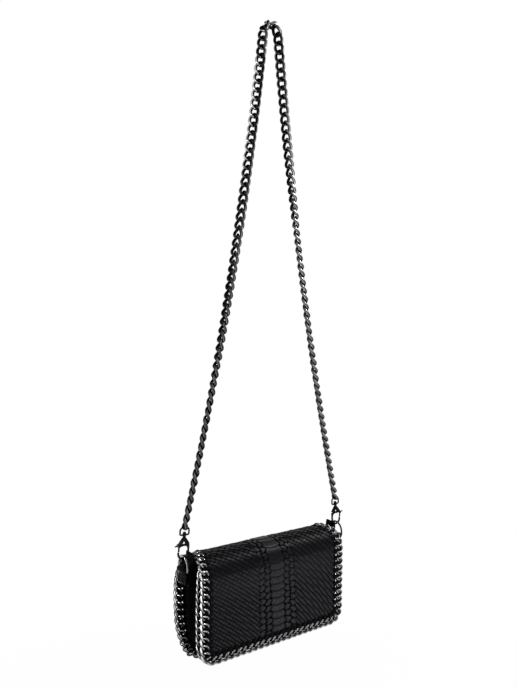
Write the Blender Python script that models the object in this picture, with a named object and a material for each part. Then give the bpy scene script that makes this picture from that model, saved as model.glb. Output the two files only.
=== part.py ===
"""A small leather flap bag that hangs from its curb-chain shoulder strap.

The bag is a pouch of two leather panels, two folded gussets and a base, with a lining and a
flap that closes on a magnetic snap. Curb chain is laced round the edges of the flap, the front
panel and the back panel. The strap is a longer curb chain with a swivelling lobster claw at
each end, hooked on a D-ring that a leather tab holds on the gusset.

Metres, +Z up, +X along the bag's width, -Y towards the flap's front. The origin is the top of
the peg that the strap hangs on.
"""

from math import asin, cos, hypot, pi, radians, sin

import bmesh
import bpy
from mathutils import Matrix, Vector

# Clearances
SEAT_GAP = 0.0003
EYE_PLAY = 0.00050
LEATHER_GAP = 0.0006
FUSE_DEPTH = 0.0002
CUT_OVERRUN = 0.001

# Strap chain
STRAP_PITCH = 0.00985
STRAP_WIRE = 0.0026
STRAP_WIDTH = 0.012
STRAP_RISE = 0.0018
STRAP_LINKS_PER_SIDE = 58
BEND_LINK_TILT = radians(58)
BEND_LINKS_PER_SIDE = 4
STRAND_TILT_TOP = radians(6.4)
STRAND_TWIST = radians(55)
TWIST_LINKS = 6
FACE_ON_UNTIL_SHARE = 0.21
EDGE_ON_FROM_SHARE = 0.61
LINK_END_SHARE = 0.5
STRAP_WIRE_SIDES = 3
WIRE_SIDES = 6

# Swivel ring at each end of the strap
SWIVEL_WIRE = 0.0019
SWIVEL_HEIGHT = 0.0095
SWIVEL_HALF_WIDTH = 0.0054
SWIVEL_SHOULDER_SHARE = 0.62
SWIVEL_TOP_SHARE = 0.36
BARREL_RADIUS = 0.0021
BARREL_LENGTH = 0.0038

# Lobster claw
CLAW_LEAN = radians(4)
POST_RADIUS = 0.0010
POST_CLEARANCE = 0.00025
POST_HEAD_RADIUS = 0.0017
POST_HEAD_HEIGHT = 0.0010
CLAW_NECK_HALF_WIDTH = 0.0016
CLAW_BODY_HEIGHT = 0.0105
CLAW_BODY_THICKNESS = 0.0046
CLAW_WIRE = 0.0025
EYE_HALF_WIDTH = 0.0048
EYE_HEIGHT = 0.0120
GATE_THICKNESS = 0.0011
GATE_SLOT = 0.0032
GATE_WIDTH = 0.0021
GATE_LEVER_LENGTH = 0.0042
GATE_LEVER_WIDTH = 0.0016
GATE_TIP_SHARE = 0.5
HOOK_STEPS = 7
WINDOW_LOW_SHARE = 0.30
WINDOW_HIGH_SHARE = 0.74
WINDOW_HALF_SHARE = 0.41
PIN_RADIUS = 0.0005
PIN_BORE_RADIUS = 0.0008
SPRING_WIRE = 0.00025
SPRING_RADIUS = 0.00098
SPRING_PITCH = 0.0006
SPRING_TURNS = 1.5
SPRING_POINTS_PER_TURN = 10

# D-ring and its leather tab
DRING_WIRE = 0.0022
DRING_HEIGHT = 0.0155
DRING_HALF_WIDTH = 0.0108
DRING_STAND_OFF = 0.0089
DRING_STEPS = 8
TAB_LAYER = 0.0013
TAB_WIDTH = 0.0186
TAB_HEIGHT = 0.0160
TAB_STEPS = 10

# Bag
BAG_WIDTH = 0.2034
BAG_HEIGHT = 0.1175
RIDGE_ABOVE_PIVOT = 0.0014
LEATHER = 0.0022
FLAP_LEATHER = 0.0024
GUSSET_LEATHER = 0.0016
LINING = 0.0010
BAG_SHIFT_Y = 0.0023
CORNER_STEPS = 3

# Edge chain
TRIM_PITCH = 0.0081
TRIM_WIRE = 0.0023
TRIM_WIDTH = 0.0115
TRIM_RISE = 0.0016
TRIM_CORNER_RADIUS = 0.011
BACK_CHAIN_INSET = 0.0045
FLAP_CHAIN_INSET = 0.0030
TRIM_WIRE_SIDES = 3
TRIM_LINE_STEPS_PER_LINK = 4
TRIM_LINE_CORNER_STEPS = 12

# Sections of the bag in its YZ plane, as shares of the bag's depth and height. The depth runs
# forwards from the pivot line to the flap, and the height down from the ridge.
BAG_DEPTH_FRONT = 0.0245
BACK_SECTION_SHARES = (
    (-0.70, 0.065),
    (-1.02, 0.155),
    (-1.30, 0.270),
    (-1.46, 0.390),
    (-1.46, 0.600),
    (-1.40, 0.740),
    (-1.12, 0.865),
    (-0.66, 0.945),
)
FRONT_SECTION_SHARES = (
    (0.68, 0.125),
    (0.62, 0.250),
    (0.57, 0.450),
    (0.57, 0.750),
    (0.61, 0.860),
    (0.66, 0.953),
)
FLAP_SECTION_SHARES = (
    (-0.60, 0.045),
    (-0.30, 0.024),
    (0.04, 0.019),
    (0.36, 0.027),
    (0.65, 0.055),
    (0.86, 0.100),
    (0.97, 0.160),
    (1.00, 0.240),
    (1.00, 0.600),
    (1.00, 0.953),
)
MOUTH_SHARE = 0.115
BASE_SHARE = 0.895

# Gusset
GUSSET_INSET = 0.0029
GUSSET_BULGE = 0.0050
GUSSET_FOLD = 0.0050
GUSSET_LEVELS = 8
GUSSET_SHARES = (0.0, 0.07, 0.2, 0.3, 0.42, 0.5, 0.58, 0.7, 0.8, 0.93, 1.0)
GUSSET_FOLD_FROM_SHARE = 0.36
GUSSET_FOLD_HALF_SHARE = 0.2
GUSSET_PEAK_FROM_SHARE = 0.14
GUSSET_PEAK_SPREAD = 3.6
TONGUE_HALF_SHARE = 0.2
TONGUE_BELOW_PIVOT = 0.0018
LINING_LEVELS = 6
LINING_CORNER = 0.0020

# Magnetic snap
SNAP_RADIUS = 0.0085
SNAP_SOCKET_THICKNESS = 0.0030
SNAP_SHARE = 0.62
SNAP_DISH_RADIUS = 0.0035
SNAP_DISH_DEPTH = 0.0009
ROUND_SIDES = 16
SMALL_ROUND_SIDES = 10
SPRING_SIDES = 4
SHARP_EDGE_ANGLE = radians(40)

COLOURS = {
    "strap_gunmetal": ((0.10, 0.10, 0.11), 1.0, 0.28),
    "trim_gunmetal": ((0.33, 0.33, 0.35), 1.0, 0.22),
    "python_leather": ((0.018, 0.018, 0.022), 0.0, 0.38),
    "gusset_leather": ((0.012, 0.012, 0.015), 0.0, 0.42),
    "lining_cloth": ((0.03, 0.03, 0.03), 0.0, 0.85),
    "snap_metal": ((0.25, 0.25, 0.27), 1.0, 0.30),
    "spring_steel": ((0.55, 0.55, 0.56), 1.0, 0.30),
}


def clear_scene():
    for thing in list(bpy.data.objects):
        bpy.data.objects.remove(thing, do_unlink=True)


def own_material(node, finish):
    colour, metallic, roughness = COLOURS[finish]
    paint = bpy.data.materials.new(f"{node}_{finish}")
    paint.use_nodes = True
    shader = paint.node_tree.nodes["Principled BSDF"]
    shader.inputs["Base Color"].default_value = (*colour, 1.0)
    shader.inputs["Metallic"].default_value = metallic
    shader.inputs["Roughness"].default_value = roughness
    return paint


def mesh_object(name, verts, faces):
    mesh = bpy.data.meshes.new(name)
    mesh.from_pydata([tuple(v) for v in verts], [], faces)
    body = bmesh.new()
    body.from_mesh(mesh)
    bmesh.ops.recalc_face_normals(body, faces=body.faces)
    body.to_mesh(mesh)
    body.free()
    thing = bpy.data.objects.new(name, mesh)
    bpy.context.collection.objects.link(thing)
    return thing


def boolean(thing, tool, operation):
    """Applies one Boolean with the exact solver and removes the tool."""
    cut = thing.modifiers.new("cut", "BOOLEAN")
    cut.operation = operation
    cut.object = tool
    cut.solver = "EXACT"
    shape = thing.evaluated_get(bpy.context.evaluated_depsgraph_get())
    result = bpy.data.meshes.new_from_object(shape)
    thing.modifiers.remove(cut)
    thing.data = result
    bpy.data.objects.remove(tool, do_unlink=True)
    return thing


def joined(name, pieces):
    """Unions a list of overlapping objects into the first one."""
    whole = pieces[0]
    whole.name = name
    for piece in pieces[1:]:
        boolean(whole, piece, "UNION")
    return whole


def finished(thing, name, finish, origin, parent=None):
    """Names a node, puts its origin on a point of its own, paints and shades it."""
    thing.name = name
    thing.data.name = name
    thing.data.transform(Matrix.Translation(-origin))
    thing.data.materials.clear()
    thing.data.materials.append(own_material(name, finish))
    thing.data.shade_smooth()
    thing.data.set_sharp_from_angle(angle=SHARP_EDGE_ANGLE)
    if parent is None:
        thing.location = origin
    else:
        thing.parent = parent
        thing.location = origin - parent.location
    return thing


def joint_empty(name, place):
    empty = bpy.data.objects.new(name, None)
    empty.location = place
    empty.empty_display_size = BARREL_LENGTH
    bpy.context.collection.objects.link(empty)
    return empty


def tube(points, radius, sides, closed=False, side_axis=None):
    """Vertices and faces of a round bar along a line, with flat ends where it is open."""
    verts = []
    faces = []
    count = len(points)
    side = side_axis
    for i, point in enumerate(points):
        before = points[i - 1] if closed or i else point
        after = points[(i + 1) % count] if closed or i + 1 < count else point
        along = (after - before).normalized()
        if side is None:
            side = along.orthogonal()
        side = (side - along * side.dot(along)).normalized()
        other = along.cross(side)
        for k in range(sides):
            angle = 2 * pi * k / sides
            verts.append(point + radius * (cos(angle) * side + sin(angle) * other))
    for i in range(count if closed else count - 1):
        for k in range(sides):
            a, b = i * sides + k, i * sides + (k + 1) % sides
            c, d = ((i + 1) % count) * sides + (k + 1) % sides, ((i + 1) % count) * sides + k
            faces.append((a, b, c, d))
    if not closed:
        faces.append(tuple(reversed(range(sides))))
        faces.append(tuple(range((count - 1) * sides, count * sides)))
    return verts, faces


def bar(name, points, radius, sides, closed=False, side_axis=None):
    return mesh_object(name, *tube(points, radius, sides, closed, side_axis))


def cylinder(name, start, end, radius, sides=ROUND_SIDES):
    return bar(name, [start, end], radius, sides)


def ring_faces(count, size):
    """The walls through a row of rings, each with as many points as the first."""
    faces = []
    for i in range(count - 1):
        for k in range(size):
            a, b = i * size + k, i * size + (k + 1) % size
            faces.append((a, b, b + size, a + size))
    return faces


def loft(name, rings):
    """A closed solid through rings of points, with a flat face at each end."""
    size = len(rings[0])
    verts = [point for ring in rings for point in ring]
    faces = ring_faces(len(rings), size)
    faces.append(tuple(reversed(range(size))))
    faces.append(tuple(range(len(verts) - size, len(verts))))
    return mesh_object(name, verts, faces)


def folded_loft(name, rings):
    """A closed solid through rings whose second half runs back along the first."""
    size = len(rings[0])
    verts = [point for ring in rings for point in ring]
    faces = ring_faces(len(rings), size)
    for first in (0, len(verts) - size):
        for k in range(size // 2 - 1):
            a, b = first + k, first + size - 1 - k
            faces.append((a, a + 1, b - 1, b))
    return mesh_object(name, verts, faces)


def extruded(name, outline, direction):
    """A prism: a flat outline pushed along a direction."""
    return loft(name, [list(outline), [point + direction for point in outline]])


def arc(centre, radius, start, end, steps, across, up):
    """Points on a circular arc in the plane of two unit vectors."""
    angles = [start + (end - start) * i / steps for i in range(steps + 1)]
    return [centre + radius * (cos(a) * across + sin(a) * up) for a in angles]


X, Y, Z = Vector((1, 0, 0)), Vector((0, 1, 0)), Vector((0, 0, 1))


# Curb chain


class Chain:
    """A curb chain: twisted oval links that lie flat, each end through the next one's hole."""

    def __init__(self, width, wire, rise, sides):
        self.wire = wire
        self.half_width = (width - wire) / 2
        self.rise = rise
        self.sides = sides

    def link(self, start, end, normal, stretch_start=0.0, stretch_end=0.0):
        """One link between two joints. A stretch lengthens it past a joint."""
        along = (end - start).normalized()
        half = ((end - start).length + self.wire) / 2 - FUSE_DEPTH / 2
        centre = (start + end) / 2 + along * (stretch_end - stretch_start) / 2
        half += (stretch_start + stretch_end) / 2
        flat = (normal - along * normal.dot(along)).normalized()
        across = flat.cross(along)
        end = self.half_width * LINK_END_SHARE
        corners = (
            (half, end, self.rise),
            (0, self.half_width, 0),
            (-half, end, -self.rise),
            (-half, -end, self.rise),
            (0, -self.half_width, 0),
            (half, -end, -self.rise),
        )
        line = [centre + x * along + y * across + z * flat for x, y, z in corners]
        far_bar, near_bar = line[0] - line[5], line[3] - line[2]
        ways = (
            (far_bar, -along),
            (near_bar - far_bar, -across),
            (near_bar, along),
            (near_bar, along),
            (far_bar - near_bar, across),
            (far_bar, -along),
        )
        return self.ring(line, ways)

    def ring(self, line, ways):
        """The wire round a link, mitred at its corners, with an edge of its section inward."""
        verts = []
        faces = []
        count = len(line)
        for i, point in enumerate(line):
            before = (point - line[i - 1]).normalized()
            after = (line[(i + 1) % count] - point).normalized()
            mitre = (before + after).normalized()
            way, inward = ways[i]
            way = way.normalized() if i % 3 != 1 else mitre
            inward = (inward - way * inward.dot(way)).normalized()
            other = way.cross(inward)
            for k in range(self.sides):
                angle = 2 * pi * k / self.sides
                spoke = self.wire / 2 * (cos(angle) * inward + sin(angle) * other)
                verts.append(point + spoke - way * spoke.dot(mitre) / way.dot(mitre))
        for i in range(count):
            for k in range(self.sides):
                a, b = i * self.sides + k, i * self.sides + (k + 1) % self.sides
                shift = ((i + 1) % count - i) * self.sides
                faces.append((a, b, b + shift, a + shift))
        return verts, faces

    def run(self, name, joints, normals, loose_start=0.0, loose_end=0.0):
        """Links along a line of joints, fused where they bear on each other."""
        groups = ([], [])
        last = len(joints) - 2
        for i in range(last + 1):
            longer_start = loose_start if i == 0 else 0.0
            longer_end = loose_end if i == last else 0.0
            shape = self.link(joints[i], joints[i + 1], normals[i], longer_start, longer_end)
            groups[i % 2].append(shape)
        sets = []
        for group in groups:
            verts = []
            faces = []
            for shape_verts, shape_faces in group:
                base = len(verts)
                verts.extend(shape_verts)
                faces.extend(tuple(base + k for k in face) for face in shape_faces)
            if verts:
                sets.append(mesh_object(name, verts, faces))
        return joined(name, sets)


STRAP = Chain(STRAP_WIDTH, STRAP_WIRE, STRAP_RISE, STRAP_WIRE_SIDES)
TRIM = Chain(TRIM_WIDTH, TRIM_WIRE, TRIM_RISE, TRIM_WIRE_SIDES)
LOOSE_END = (FUSE_DEPTH + SEAT_GAP) / 2
STRAP_HALF_THICKNESS = STRAP_RISE + STRAP_WIRE / 2

# Lengths along a claw, which leans out along the strap's pull
CLAW_HALF_WIDTH = EYE_HALF_WIDTH + CLAW_WIRE
BOW_RISE = (FUSE_DEPTH + SWIVEL_WIRE) / 2 + SEAT_GAP
EYE_DROP = (CLAW_WIRE + DRING_WIRE) / 2 + EYE_PLAY
CLAW_REACH = BARREL_LENGTH / 2 + SEAT_GAP + CLAW_BODY_HEIGHT + EYE_HEIGHT + CLAW_WIRE / 2
STRAND_END_TO_DRING = SWIVEL_HEIGHT - BOW_RISE + CLAW_REACH - EYE_DROP
CLAW_X = BAG_WIDTH / 2 + DRING_STAND_OFF
STRAND_END_X = CLAW_X - STRAND_END_TO_DRING * sin(CLAW_LEAN)


def smooth(value):
    value = min(max(value, 0.0), 1.0)
    return value * value * (3 - 2 * value)


def strand_joints(side):
    """The joints of one strand, from the top link down to the swivel ring."""
    count = STRAP_LINKS_PER_SIDE
    x = STRAP_PITCH / 2
    z = STRAP_HALF_THICKNESS
    reach = STRAND_END_X - x - STRAP_PITCH * cos(BEND_LINK_TILT)
    mean_tilt = asin(reach / (STRAP_PITCH * (count - 1)))
    places = [(x, z)]
    x += STRAP_PITCH * cos(BEND_LINK_TILT)
    z -= STRAP_PITCH * sin(BEND_LINK_TILT)
    places.append((x, z))
    top_x = x
    for k in range(count - 1):
        share = (k + 0.5) / (count - 1)
        tilt = STRAND_TILT_TOP + 2 * (mean_tilt - STRAND_TILT_TOP) * share
        x += STRAP_PITCH * sin(tilt)
        z -= STRAP_PITCH * cos(tilt)
        places.append((x, z))
    fit = (STRAND_END_X - top_x) / (x - top_x)
    fitted = places[:2] + [(top_x + (px - top_x) * fit, pz) for px, pz in places[2:]]
    return [Vector((side * px, 0, pz)) for px, pz in fitted]


def strand_normal(side, start, end, index):
    """The way a link of the strand faces: radially over the peg, then towards a corner of
    the bag, and along the bag's width again at the bottom."""
    along = (end - start).normalized()
    outward = Vector((-along.z * side, 0, along.x * side))
    share = index / STRAP_LINKS_PER_SIDE
    turned = smooth(index / TWIST_LINKS)
    fade = (share - FACE_ON_UNTIL_SHARE) / (EDGE_ON_FROM_SHARE - FACE_ON_UNTIL_SHARE)
    angle = pi / 2 + side * STRAND_TWIST * turned * (1 - smooth(fade))
    return -cos(angle) * Y + sin(angle) * outward


# Where the hardware hangs, worked out down from the peg. The clasp's own heights are those it
# has upright, before it leans about the top of its D-ring.
STRAND_END = strand_joints(1)[-1]
DRING_TOP_Z = STRAND_END.z - STRAND_END_TO_DRING * cos(CLAW_LEAN)
DRING_BAR_Z = DRING_TOP_Z - DRING_HEIGHT
SHOULDER_Z = DRING_TOP_Z - EYE_DROP + CLAW_WIRE / 2 + EYE_HEIGHT
NECK_Z = SHOULDER_Z + CLAW_BODY_HEIGHT
SWIVEL_BASE_Z = NECK_Z + SEAT_GAP + BARREL_LENGTH / 2
PIVOT_Z = DRING_TOP_Z - EYE_DROP * cos(CLAW_LEAN)
RIDGE_Z = PIVOT_Z + RIDGE_ABOVE_PIVOT


def lean(side):
    """The turn about the top of the D-ring that leans an upright clasp out."""
    heel = Vector((side * CLAW_X, 0, DRING_TOP_Z))
    turn = Matrix.Rotation(-side * CLAW_LEAN, 4, "Y")
    return Matrix.Translation(heel) @ turn @ Matrix.Translation(-heel)


def leaned(thing, side, name, finish, origin, parent=None):
    """Leans a piece of the clasp and finishes it. Its origin is given as if upright."""
    thing.data.transform(lean(side))
    return finished(thing, name, finish, lean(side) @ origin, parent)


def make_strap():
    """The bend over the peg, and the two strands that hang from it."""
    split = BEND_LINKS_PER_SIDE
    bend_joints = []
    bend_normals = []
    for side, word in ((-1, "left"), (1, "right")):
        joints = strand_joints(side)
        normals = [
            strand_normal(side, joints[i], joints[i + 1], i + 1) for i in range(len(joints) - 1)
        ]
        name = f"strap_{word}_strand"
        strand = STRAP.run(name, joints[split:], normals[split:], loose_start=LOOSE_END)
        finished(strand, name, "strap_gunmetal", joints[split])
        if side < 0:
            bend_joints = joints[split::-1]
            bend_normals = [*normals[split - 1 :: -1], Z]
        else:
            bend_joints += joints[: split + 1]
            bend_normals += normals[:split]
    bend = STRAP.run("strap_bend", bend_joints, bend_normals, LOOSE_END, LOOSE_END)
    finished(bend, "strap_bend", "strap_gunmetal", Vector((0, 0, STRAP_HALF_THICKNESS)))


# Swivel rings and claws


def swivel_ring(side, word):
    """A house-shaped bow on a short barrel that the claw's post turns in."""
    centre = Vector((side * CLAW_X, 0, SWIVEL_BASE_Z))
    half, high = SWIVEL_HALF_WIDTH, SWIVEL_HEIGHT
    corners = [
        (-half, 0),
        (-half, high * SWIVEL_SHOULDER_SHARE),
        (-half * SWIVEL_TOP_SHARE, high),
        (half * SWIVEL_TOP_SHARE, high),
        (half, high * SWIVEL_SHOULDER_SHARE),
        (half, 0),
    ]
    line = [centre + x * X + z * Z for x, z in corners]
    bow = bar("bow", line, SWIVEL_WIRE / 2, WIRE_SIDES, closed=True, side_axis=Y)
    barrel = cylinder(
        "barrel",
        centre - BARREL_LENGTH / 2 * Z,
        centre + BARREL_LENGTH / 2 * Z,
        BARREL_RADIUS,
        SMALL_ROUND_SIDES,
    )
    whole = joined("swivel", [bow, barrel])
    reach = BARREL_LENGTH / 2 + CUT_OVERRUN
    bore_radius = POST_RADIUS + POST_CLEARANCE
    low, high = centre - reach * Z, centre + reach * Z
    bore = cylinder("bore", low, high, bore_radius, SMALL_ROUND_SIDES)
    boolean(whole, bore, "DIFFERENCE")
    return leaned(whole, side, f"{word}_swivel_ring", "strap_gunmetal", centre)


def claw_places(side):
    """The claw's centre line, its gate pin and its eye's middle."""
    middle = Vector((side * CLAW_X, 0, 0))
    pin = middle + side * (EYE_HALF_WIDTH + CLAW_WIRE / 2) * X + (SHOULDER_Z + GATE_WIDTH / 2) * Z
    eye = middle + (SHOULDER_Z - EYE_HEIGHT + EYE_HALF_WIDTH) * Z
    return middle, pin, eye


def claw_hook(side, word, empty):
    """The cast claw: a post with a riveted head, a wedge body and the hook round the eye."""
    middle, pin, eye = claw_places(side)
    inner = -side * X
    wire_radius = EYE_HALF_WIDTH + CLAW_WIRE / 2
    half_thick = CLAW_BODY_THICKNESS / 2
    body_outline = [
        middle - CLAW_NECK_HALF_WIDTH * X + NECK_Z * Z,
        middle + CLAW_NECK_HALF_WIDTH * X + NECK_Z * Z,
        middle + CLAW_HALF_WIDTH * X + (SHOULDER_Z + GATE_WIDTH) * Z,
        middle + CLAW_HALF_WIDTH * X + SHOULDER_Z * Z,
        middle - CLAW_HALF_WIDTH * X + SHOULDER_Z * Z,
        middle - CLAW_HALF_WIDTH * X + (SHOULDER_Z + GATE_WIDTH) * Z,
    ]
    body_outline = [point - half_thick * Y for point in body_outline]
    body = extruded("body", body_outline, CLAW_BODY_THICKNESS * Y)
    spine_top = middle + inner * wire_radius + (SHOULDER_Z + CLAW_WIRE / 2) * Z
    tip_z = SHOULDER_Z - EYE_HEIGHT * GATE_TIP_SHARE
    turn = arc(eye, wire_radius, 0, pi, HOOK_STEPS, inner, -Z)
    line = [spine_top, *turn, middle - inner * wire_radius + tip_z * Z]
    hook = bar("hook", line, CLAW_WIRE / 2, WIRE_SIDES, side_axis=Y)
    head_z = SWIVEL_BASE_Z + BARREL_LENGTH / 2 + SEAT_GAP
    foot, neck = middle + (NECK_Z - CUT_OVERRUN) * Z, middle + head_z * Z
    post = cylinder("post", foot, neck, POST_RADIUS, SMALL_ROUND_SIDES)
    top = neck + POST_HEAD_HEIGHT * Z
    head = cylinder("head", neck, top, POST_HEAD_RADIUS, SMALL_ROUND_SIDES)
    whole = joined("hook", [body, hook, post, head])
    slot_half = GATE_SLOT / 2
    slot_inner = pin - side * (GATE_WIDTH / 2 + SPRING_WIRE + SEAT_GAP) * X
    slot_outer = pin + side * (CLAW_HALF_WIDTH + GATE_LEVER_LENGTH) * X
    slot_low, slot_high = SHOULDER_Z - CUT_OVERRUN, SHOULDER_Z + 2 * GATE_WIDTH + CUT_OVERRUN
    slot = [
        Vector((slot_inner.x, -slot_half, slot_low)),
        Vector((slot_outer.x, -slot_half, slot_low)),
        Vector((slot_outer.x, -slot_half, slot_high)),
        Vector((slot_inner.x, -slot_half, slot_high)),
    ]
    boolean(whole, extruded("slot", slot, GATE_SLOT * Y), "DIFFERENCE")
    reach = (half_thick + CUT_OVERRUN) * Y
    bore = cylinder("bore", pin - reach, pin + reach, PIN_BORE_RADIUS, SMALL_ROUND_SIDES)
    boolean(whole, bore, "DIFFERENCE")
    low = SHOULDER_Z + CLAW_BODY_HEIGHT * WINDOW_LOW_SHARE
    high = SHOULDER_Z + CLAW_BODY_HEIGHT * WINDOW_HIGH_SHARE
    foot = CLAW_HALF_WIDTH * WINDOW_HALF_SHARE * X
    window = [middle - foot + low * Z, middle + foot + low * Z, middle + high * Z]
    window = [point - reach for point in window]
    boolean(whole, extruded("window", window, 2 * reach), "DIFFERENCE")
    origin = middle + SWIVEL_BASE_Z * Z
    return leaned(whole, side, f"{word}_claw_hook", "strap_gunmetal", origin, empty)


def claw_gate(side, word, empty):
    """The sprung gate: a flat bar from its pin to the hook's tip, with a thumb lever."""
    middle, pin, _ = claw_places(side)
    out = side * X
    half = GATE_WIDTH / 2
    tip_z = SHOULDER_Z - EYE_HEIGHT * GATE_TIP_SHARE + SEAT_GAP
    outline = [
        Vector((pin.x, 0, tip_z)) - out * half,
        Vector((pin.x, 0, tip_z)) + out * half,
        Vector((pin.x, 0, pin.z - half)) + out * half,
        Vector((pin.x, 0, pin.z - GATE_LEVER_WIDTH / 2)) + out * (half + GATE_LEVER_LENGTH),
        Vector((pin.x, 0, pin.z + GATE_LEVER_WIDTH / 2)) + out * (half + GATE_LEVER_LENGTH),
        Vector((pin.x, 0, pin.z + half)) + out * half,
        Vector((pin.x, 0, pin.z + half)) - out * half,
    ]
    front = -GATE_SLOT / 2 + SEAT_GAP
    outline = [point + front * Y for point in outline]
    gate = extruded("gate", outline, GATE_THICKNESS * Y)
    reach = (GATE_SLOT + CUT_OVERRUN) * Y
    bore = cylinder("bore", pin - reach, pin + reach, PIN_BORE_RADIUS, SMALL_ROUND_SIDES)
    boolean(gate, bore, "DIFFERENCE")
    return leaned(gate, side, f"{word}_claw_gate", "strap_gunmetal", pin, empty)


def gate_pin(side, word, empty):
    _, pin, _ = claw_places(side)
    half = CLAW_BODY_THICKNESS / 2 * Y
    shaft = cylinder("pin", pin - half, pin + half, PIN_RADIUS, SMALL_ROUND_SIDES)
    return leaned(shaft, side, f"{word}_gate_pin", "strap_gunmetal", pin, empty)


def gate_spring(side, word, empty):
    """A small torsion coil round the gate's pin, beside the gate in the slot."""
    _, pin, _ = claw_places(side)
    steps = round(SPRING_TURNS * SPRING_POINTS_PER_TURN)
    first = -GATE_SLOT / 2 + 2 * SEAT_GAP + GATE_THICKNESS + SPRING_WIRE / 2
    line = []
    for i in range(steps + 1):
        angle = 2 * pi * i / SPRING_POINTS_PER_TURN
        rise = first + SPRING_PITCH * i / SPRING_POINTS_PER_TURN
        line.append(pin + SPRING_RADIUS * (cos(angle) * X + sin(angle) * Z) + rise * Y)
    coil = bar("spring", line, SPRING_WIRE / 2, SPRING_SIDES)
    return leaned(coil, side, f"{word}_gate_spring", "spring_steel", pin, empty)


def make_clasps():
    for side, word in ((-1, "left"), (1, "right")):
        middle, pin, _ = claw_places(side)
        swivel_ring(side, word)
        base_place = lean(side) @ (middle + SWIVEL_BASE_Z * Z)
        claw_axis = joint_empty(f"{word}_claw_axis", base_place)
        claw_hook(side, word, claw_axis)
        gate_pin(side, word, claw_axis)
        gate_spring(side, word, claw_axis)
        gate_axis = joint_empty(f"{word}_gate_axis", lean(side) @ pin)
        claw_gate(side, word, gate_axis)


# Sheets: the leather panels and the flap


class Sheet:
    """A sheet bent along one section in the YZ plane, measured down from its top edge."""

    def __init__(self, shares, outward):
        self.outward = outward
        self.points = [
            Vector((0, BAG_SHIFT_Y - y * BAG_DEPTH_FRONT, RIDGE_Z - z * BAG_HEIGHT))
            for y, z in shares
        ]
        self.runs = [0.0]
        for a, b in zip(self.points, self.points[1:]):
            self.runs.append(self.runs[-1] + (b - a).length)
        self.length = self.runs[-1]

    def at(self, down):
        """The section's point at a distance down the sheet."""
        for i in range(len(self.points) - 1):
            if down <= self.runs[i + 1] or i == len(self.points) - 2:
                share = (down - self.runs[i]) / (self.runs[i + 1] - self.runs[i])
                return self.points[i].lerp(self.points[i + 1], share)

    def facing(self, down):
        """The outward direction, averaged over a short stretch."""
        step = TRIM_PITCH / 2
        low, high = max(down - step, 0), min(down + step, self.length)
        along = (self.at(high) - self.at(low)).normalized()
        return Vector((0, along.z, -along.y)) * self.outward

    def place(self, x, down):
        return self.at(down) + x * X

    def y_at(self, z):
        """Where the section is at a height."""
        for a, b in zip(self.points, self.points[1:]):
            if b.z <= z <= a.z:
                return a.y + (b.y - a.y) * (a.z - z) / (a.z - b.z)
        return self.points[-1].y if z < self.points[-1].z else self.points[0].y

    def inner_y(self, z, reach):
        """The depth at a height that keeps a distance from the section, on its inner side."""
        depths = [self.y_at(z) + self.outward * reach]
        for a, b in zip(self.points, self.points[1:]):
            if b.z - reach <= z <= a.z + reach:
                there = a.y + (b.y - a.y) * (a.z - z) / (a.z - b.z)
                depths.append(there + self.outward * reach * (b - a).length / (a.z - b.z))
        return max(depths) if self.outward > 0 else min(depths)


BACK = Sheet(BACK_SECTION_SHARES, -1)
FRONT = Sheet(FRONT_SECTION_SHARES, 1)
FLAP = Sheet(FLAP_SECTION_SHARES, 1)
TRIM_LINE_X = BAG_WIDTH / 2 - TRIM_WIDTH / 2
LEATHER_INSET = TRIM_WIDTH / 2 + LEATHER_GAP
LEATHER_HALF_WIDTH = TRIM_LINE_X - LEATHER_INSET
LEATHER_CORNER = TRIM_CORNER_RADIUS - LEATHER_INSET
GUSSET_HALF_SPAN = LEATHER_HALF_WIDTH - GUSSET_INSET


def leather(name, section, thickness, top_inset=0.0):
    """A panel of leather inside its edge chain, with rounded lower corners."""
    end = section.length - LEATHER_INSET
    stations = [run for run in section.runs if top_inset < run < end - LEATHER_CORNER]
    stations = [top_inset, *stations]
    for i in range(CORNER_STEPS + 1):
        stations.append(end - LEATHER_CORNER * (1 - sin(pi / 2 * i / CORNER_STEPS)))
    rings = []
    for down in stations:
        into_corner = max(0.0, down - (end - LEATHER_CORNER))
        drawn_in = LEATHER_CORNER - (max(LEATHER_CORNER**2 - into_corner**2, 0)) ** 0.5
        half = LEATHER_HALF_WIDTH - drawn_in
        out = section.facing(down) * thickness / 2
        left, right = section.place(-half, down), section.place(half, down)
        rings.append([left + out, right + out, right - out, left - out])
    return loft(name, rings)


def trim_line(section, inset):
    """Points of the edge chain's line: down one side, round the corners and up the other."""
    side = section.length - TRIM_CORNER_RADIUS
    across = TRIM_LINE_X - TRIM_CORNER_RADIUS
    steps = round(TRIM_LINE_STEPS_PER_LINK * (side - inset) / TRIM_PITCH)
    flat = [(-TRIM_LINE_X, inset + (side - inset) * i / steps) for i in range(steps)]
    turns = TRIM_LINE_CORNER_STEPS
    turn = [pi / 2 * i / turns for i in range(turns + 1)]
    flat += [
        (-across - TRIM_CORNER_RADIUS * cos(a), side + TRIM_CORNER_RADIUS * sin(a)) for a in turn
    ]
    flat += [(-x, down) for x, down in reversed(flat)]
    return flat


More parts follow.
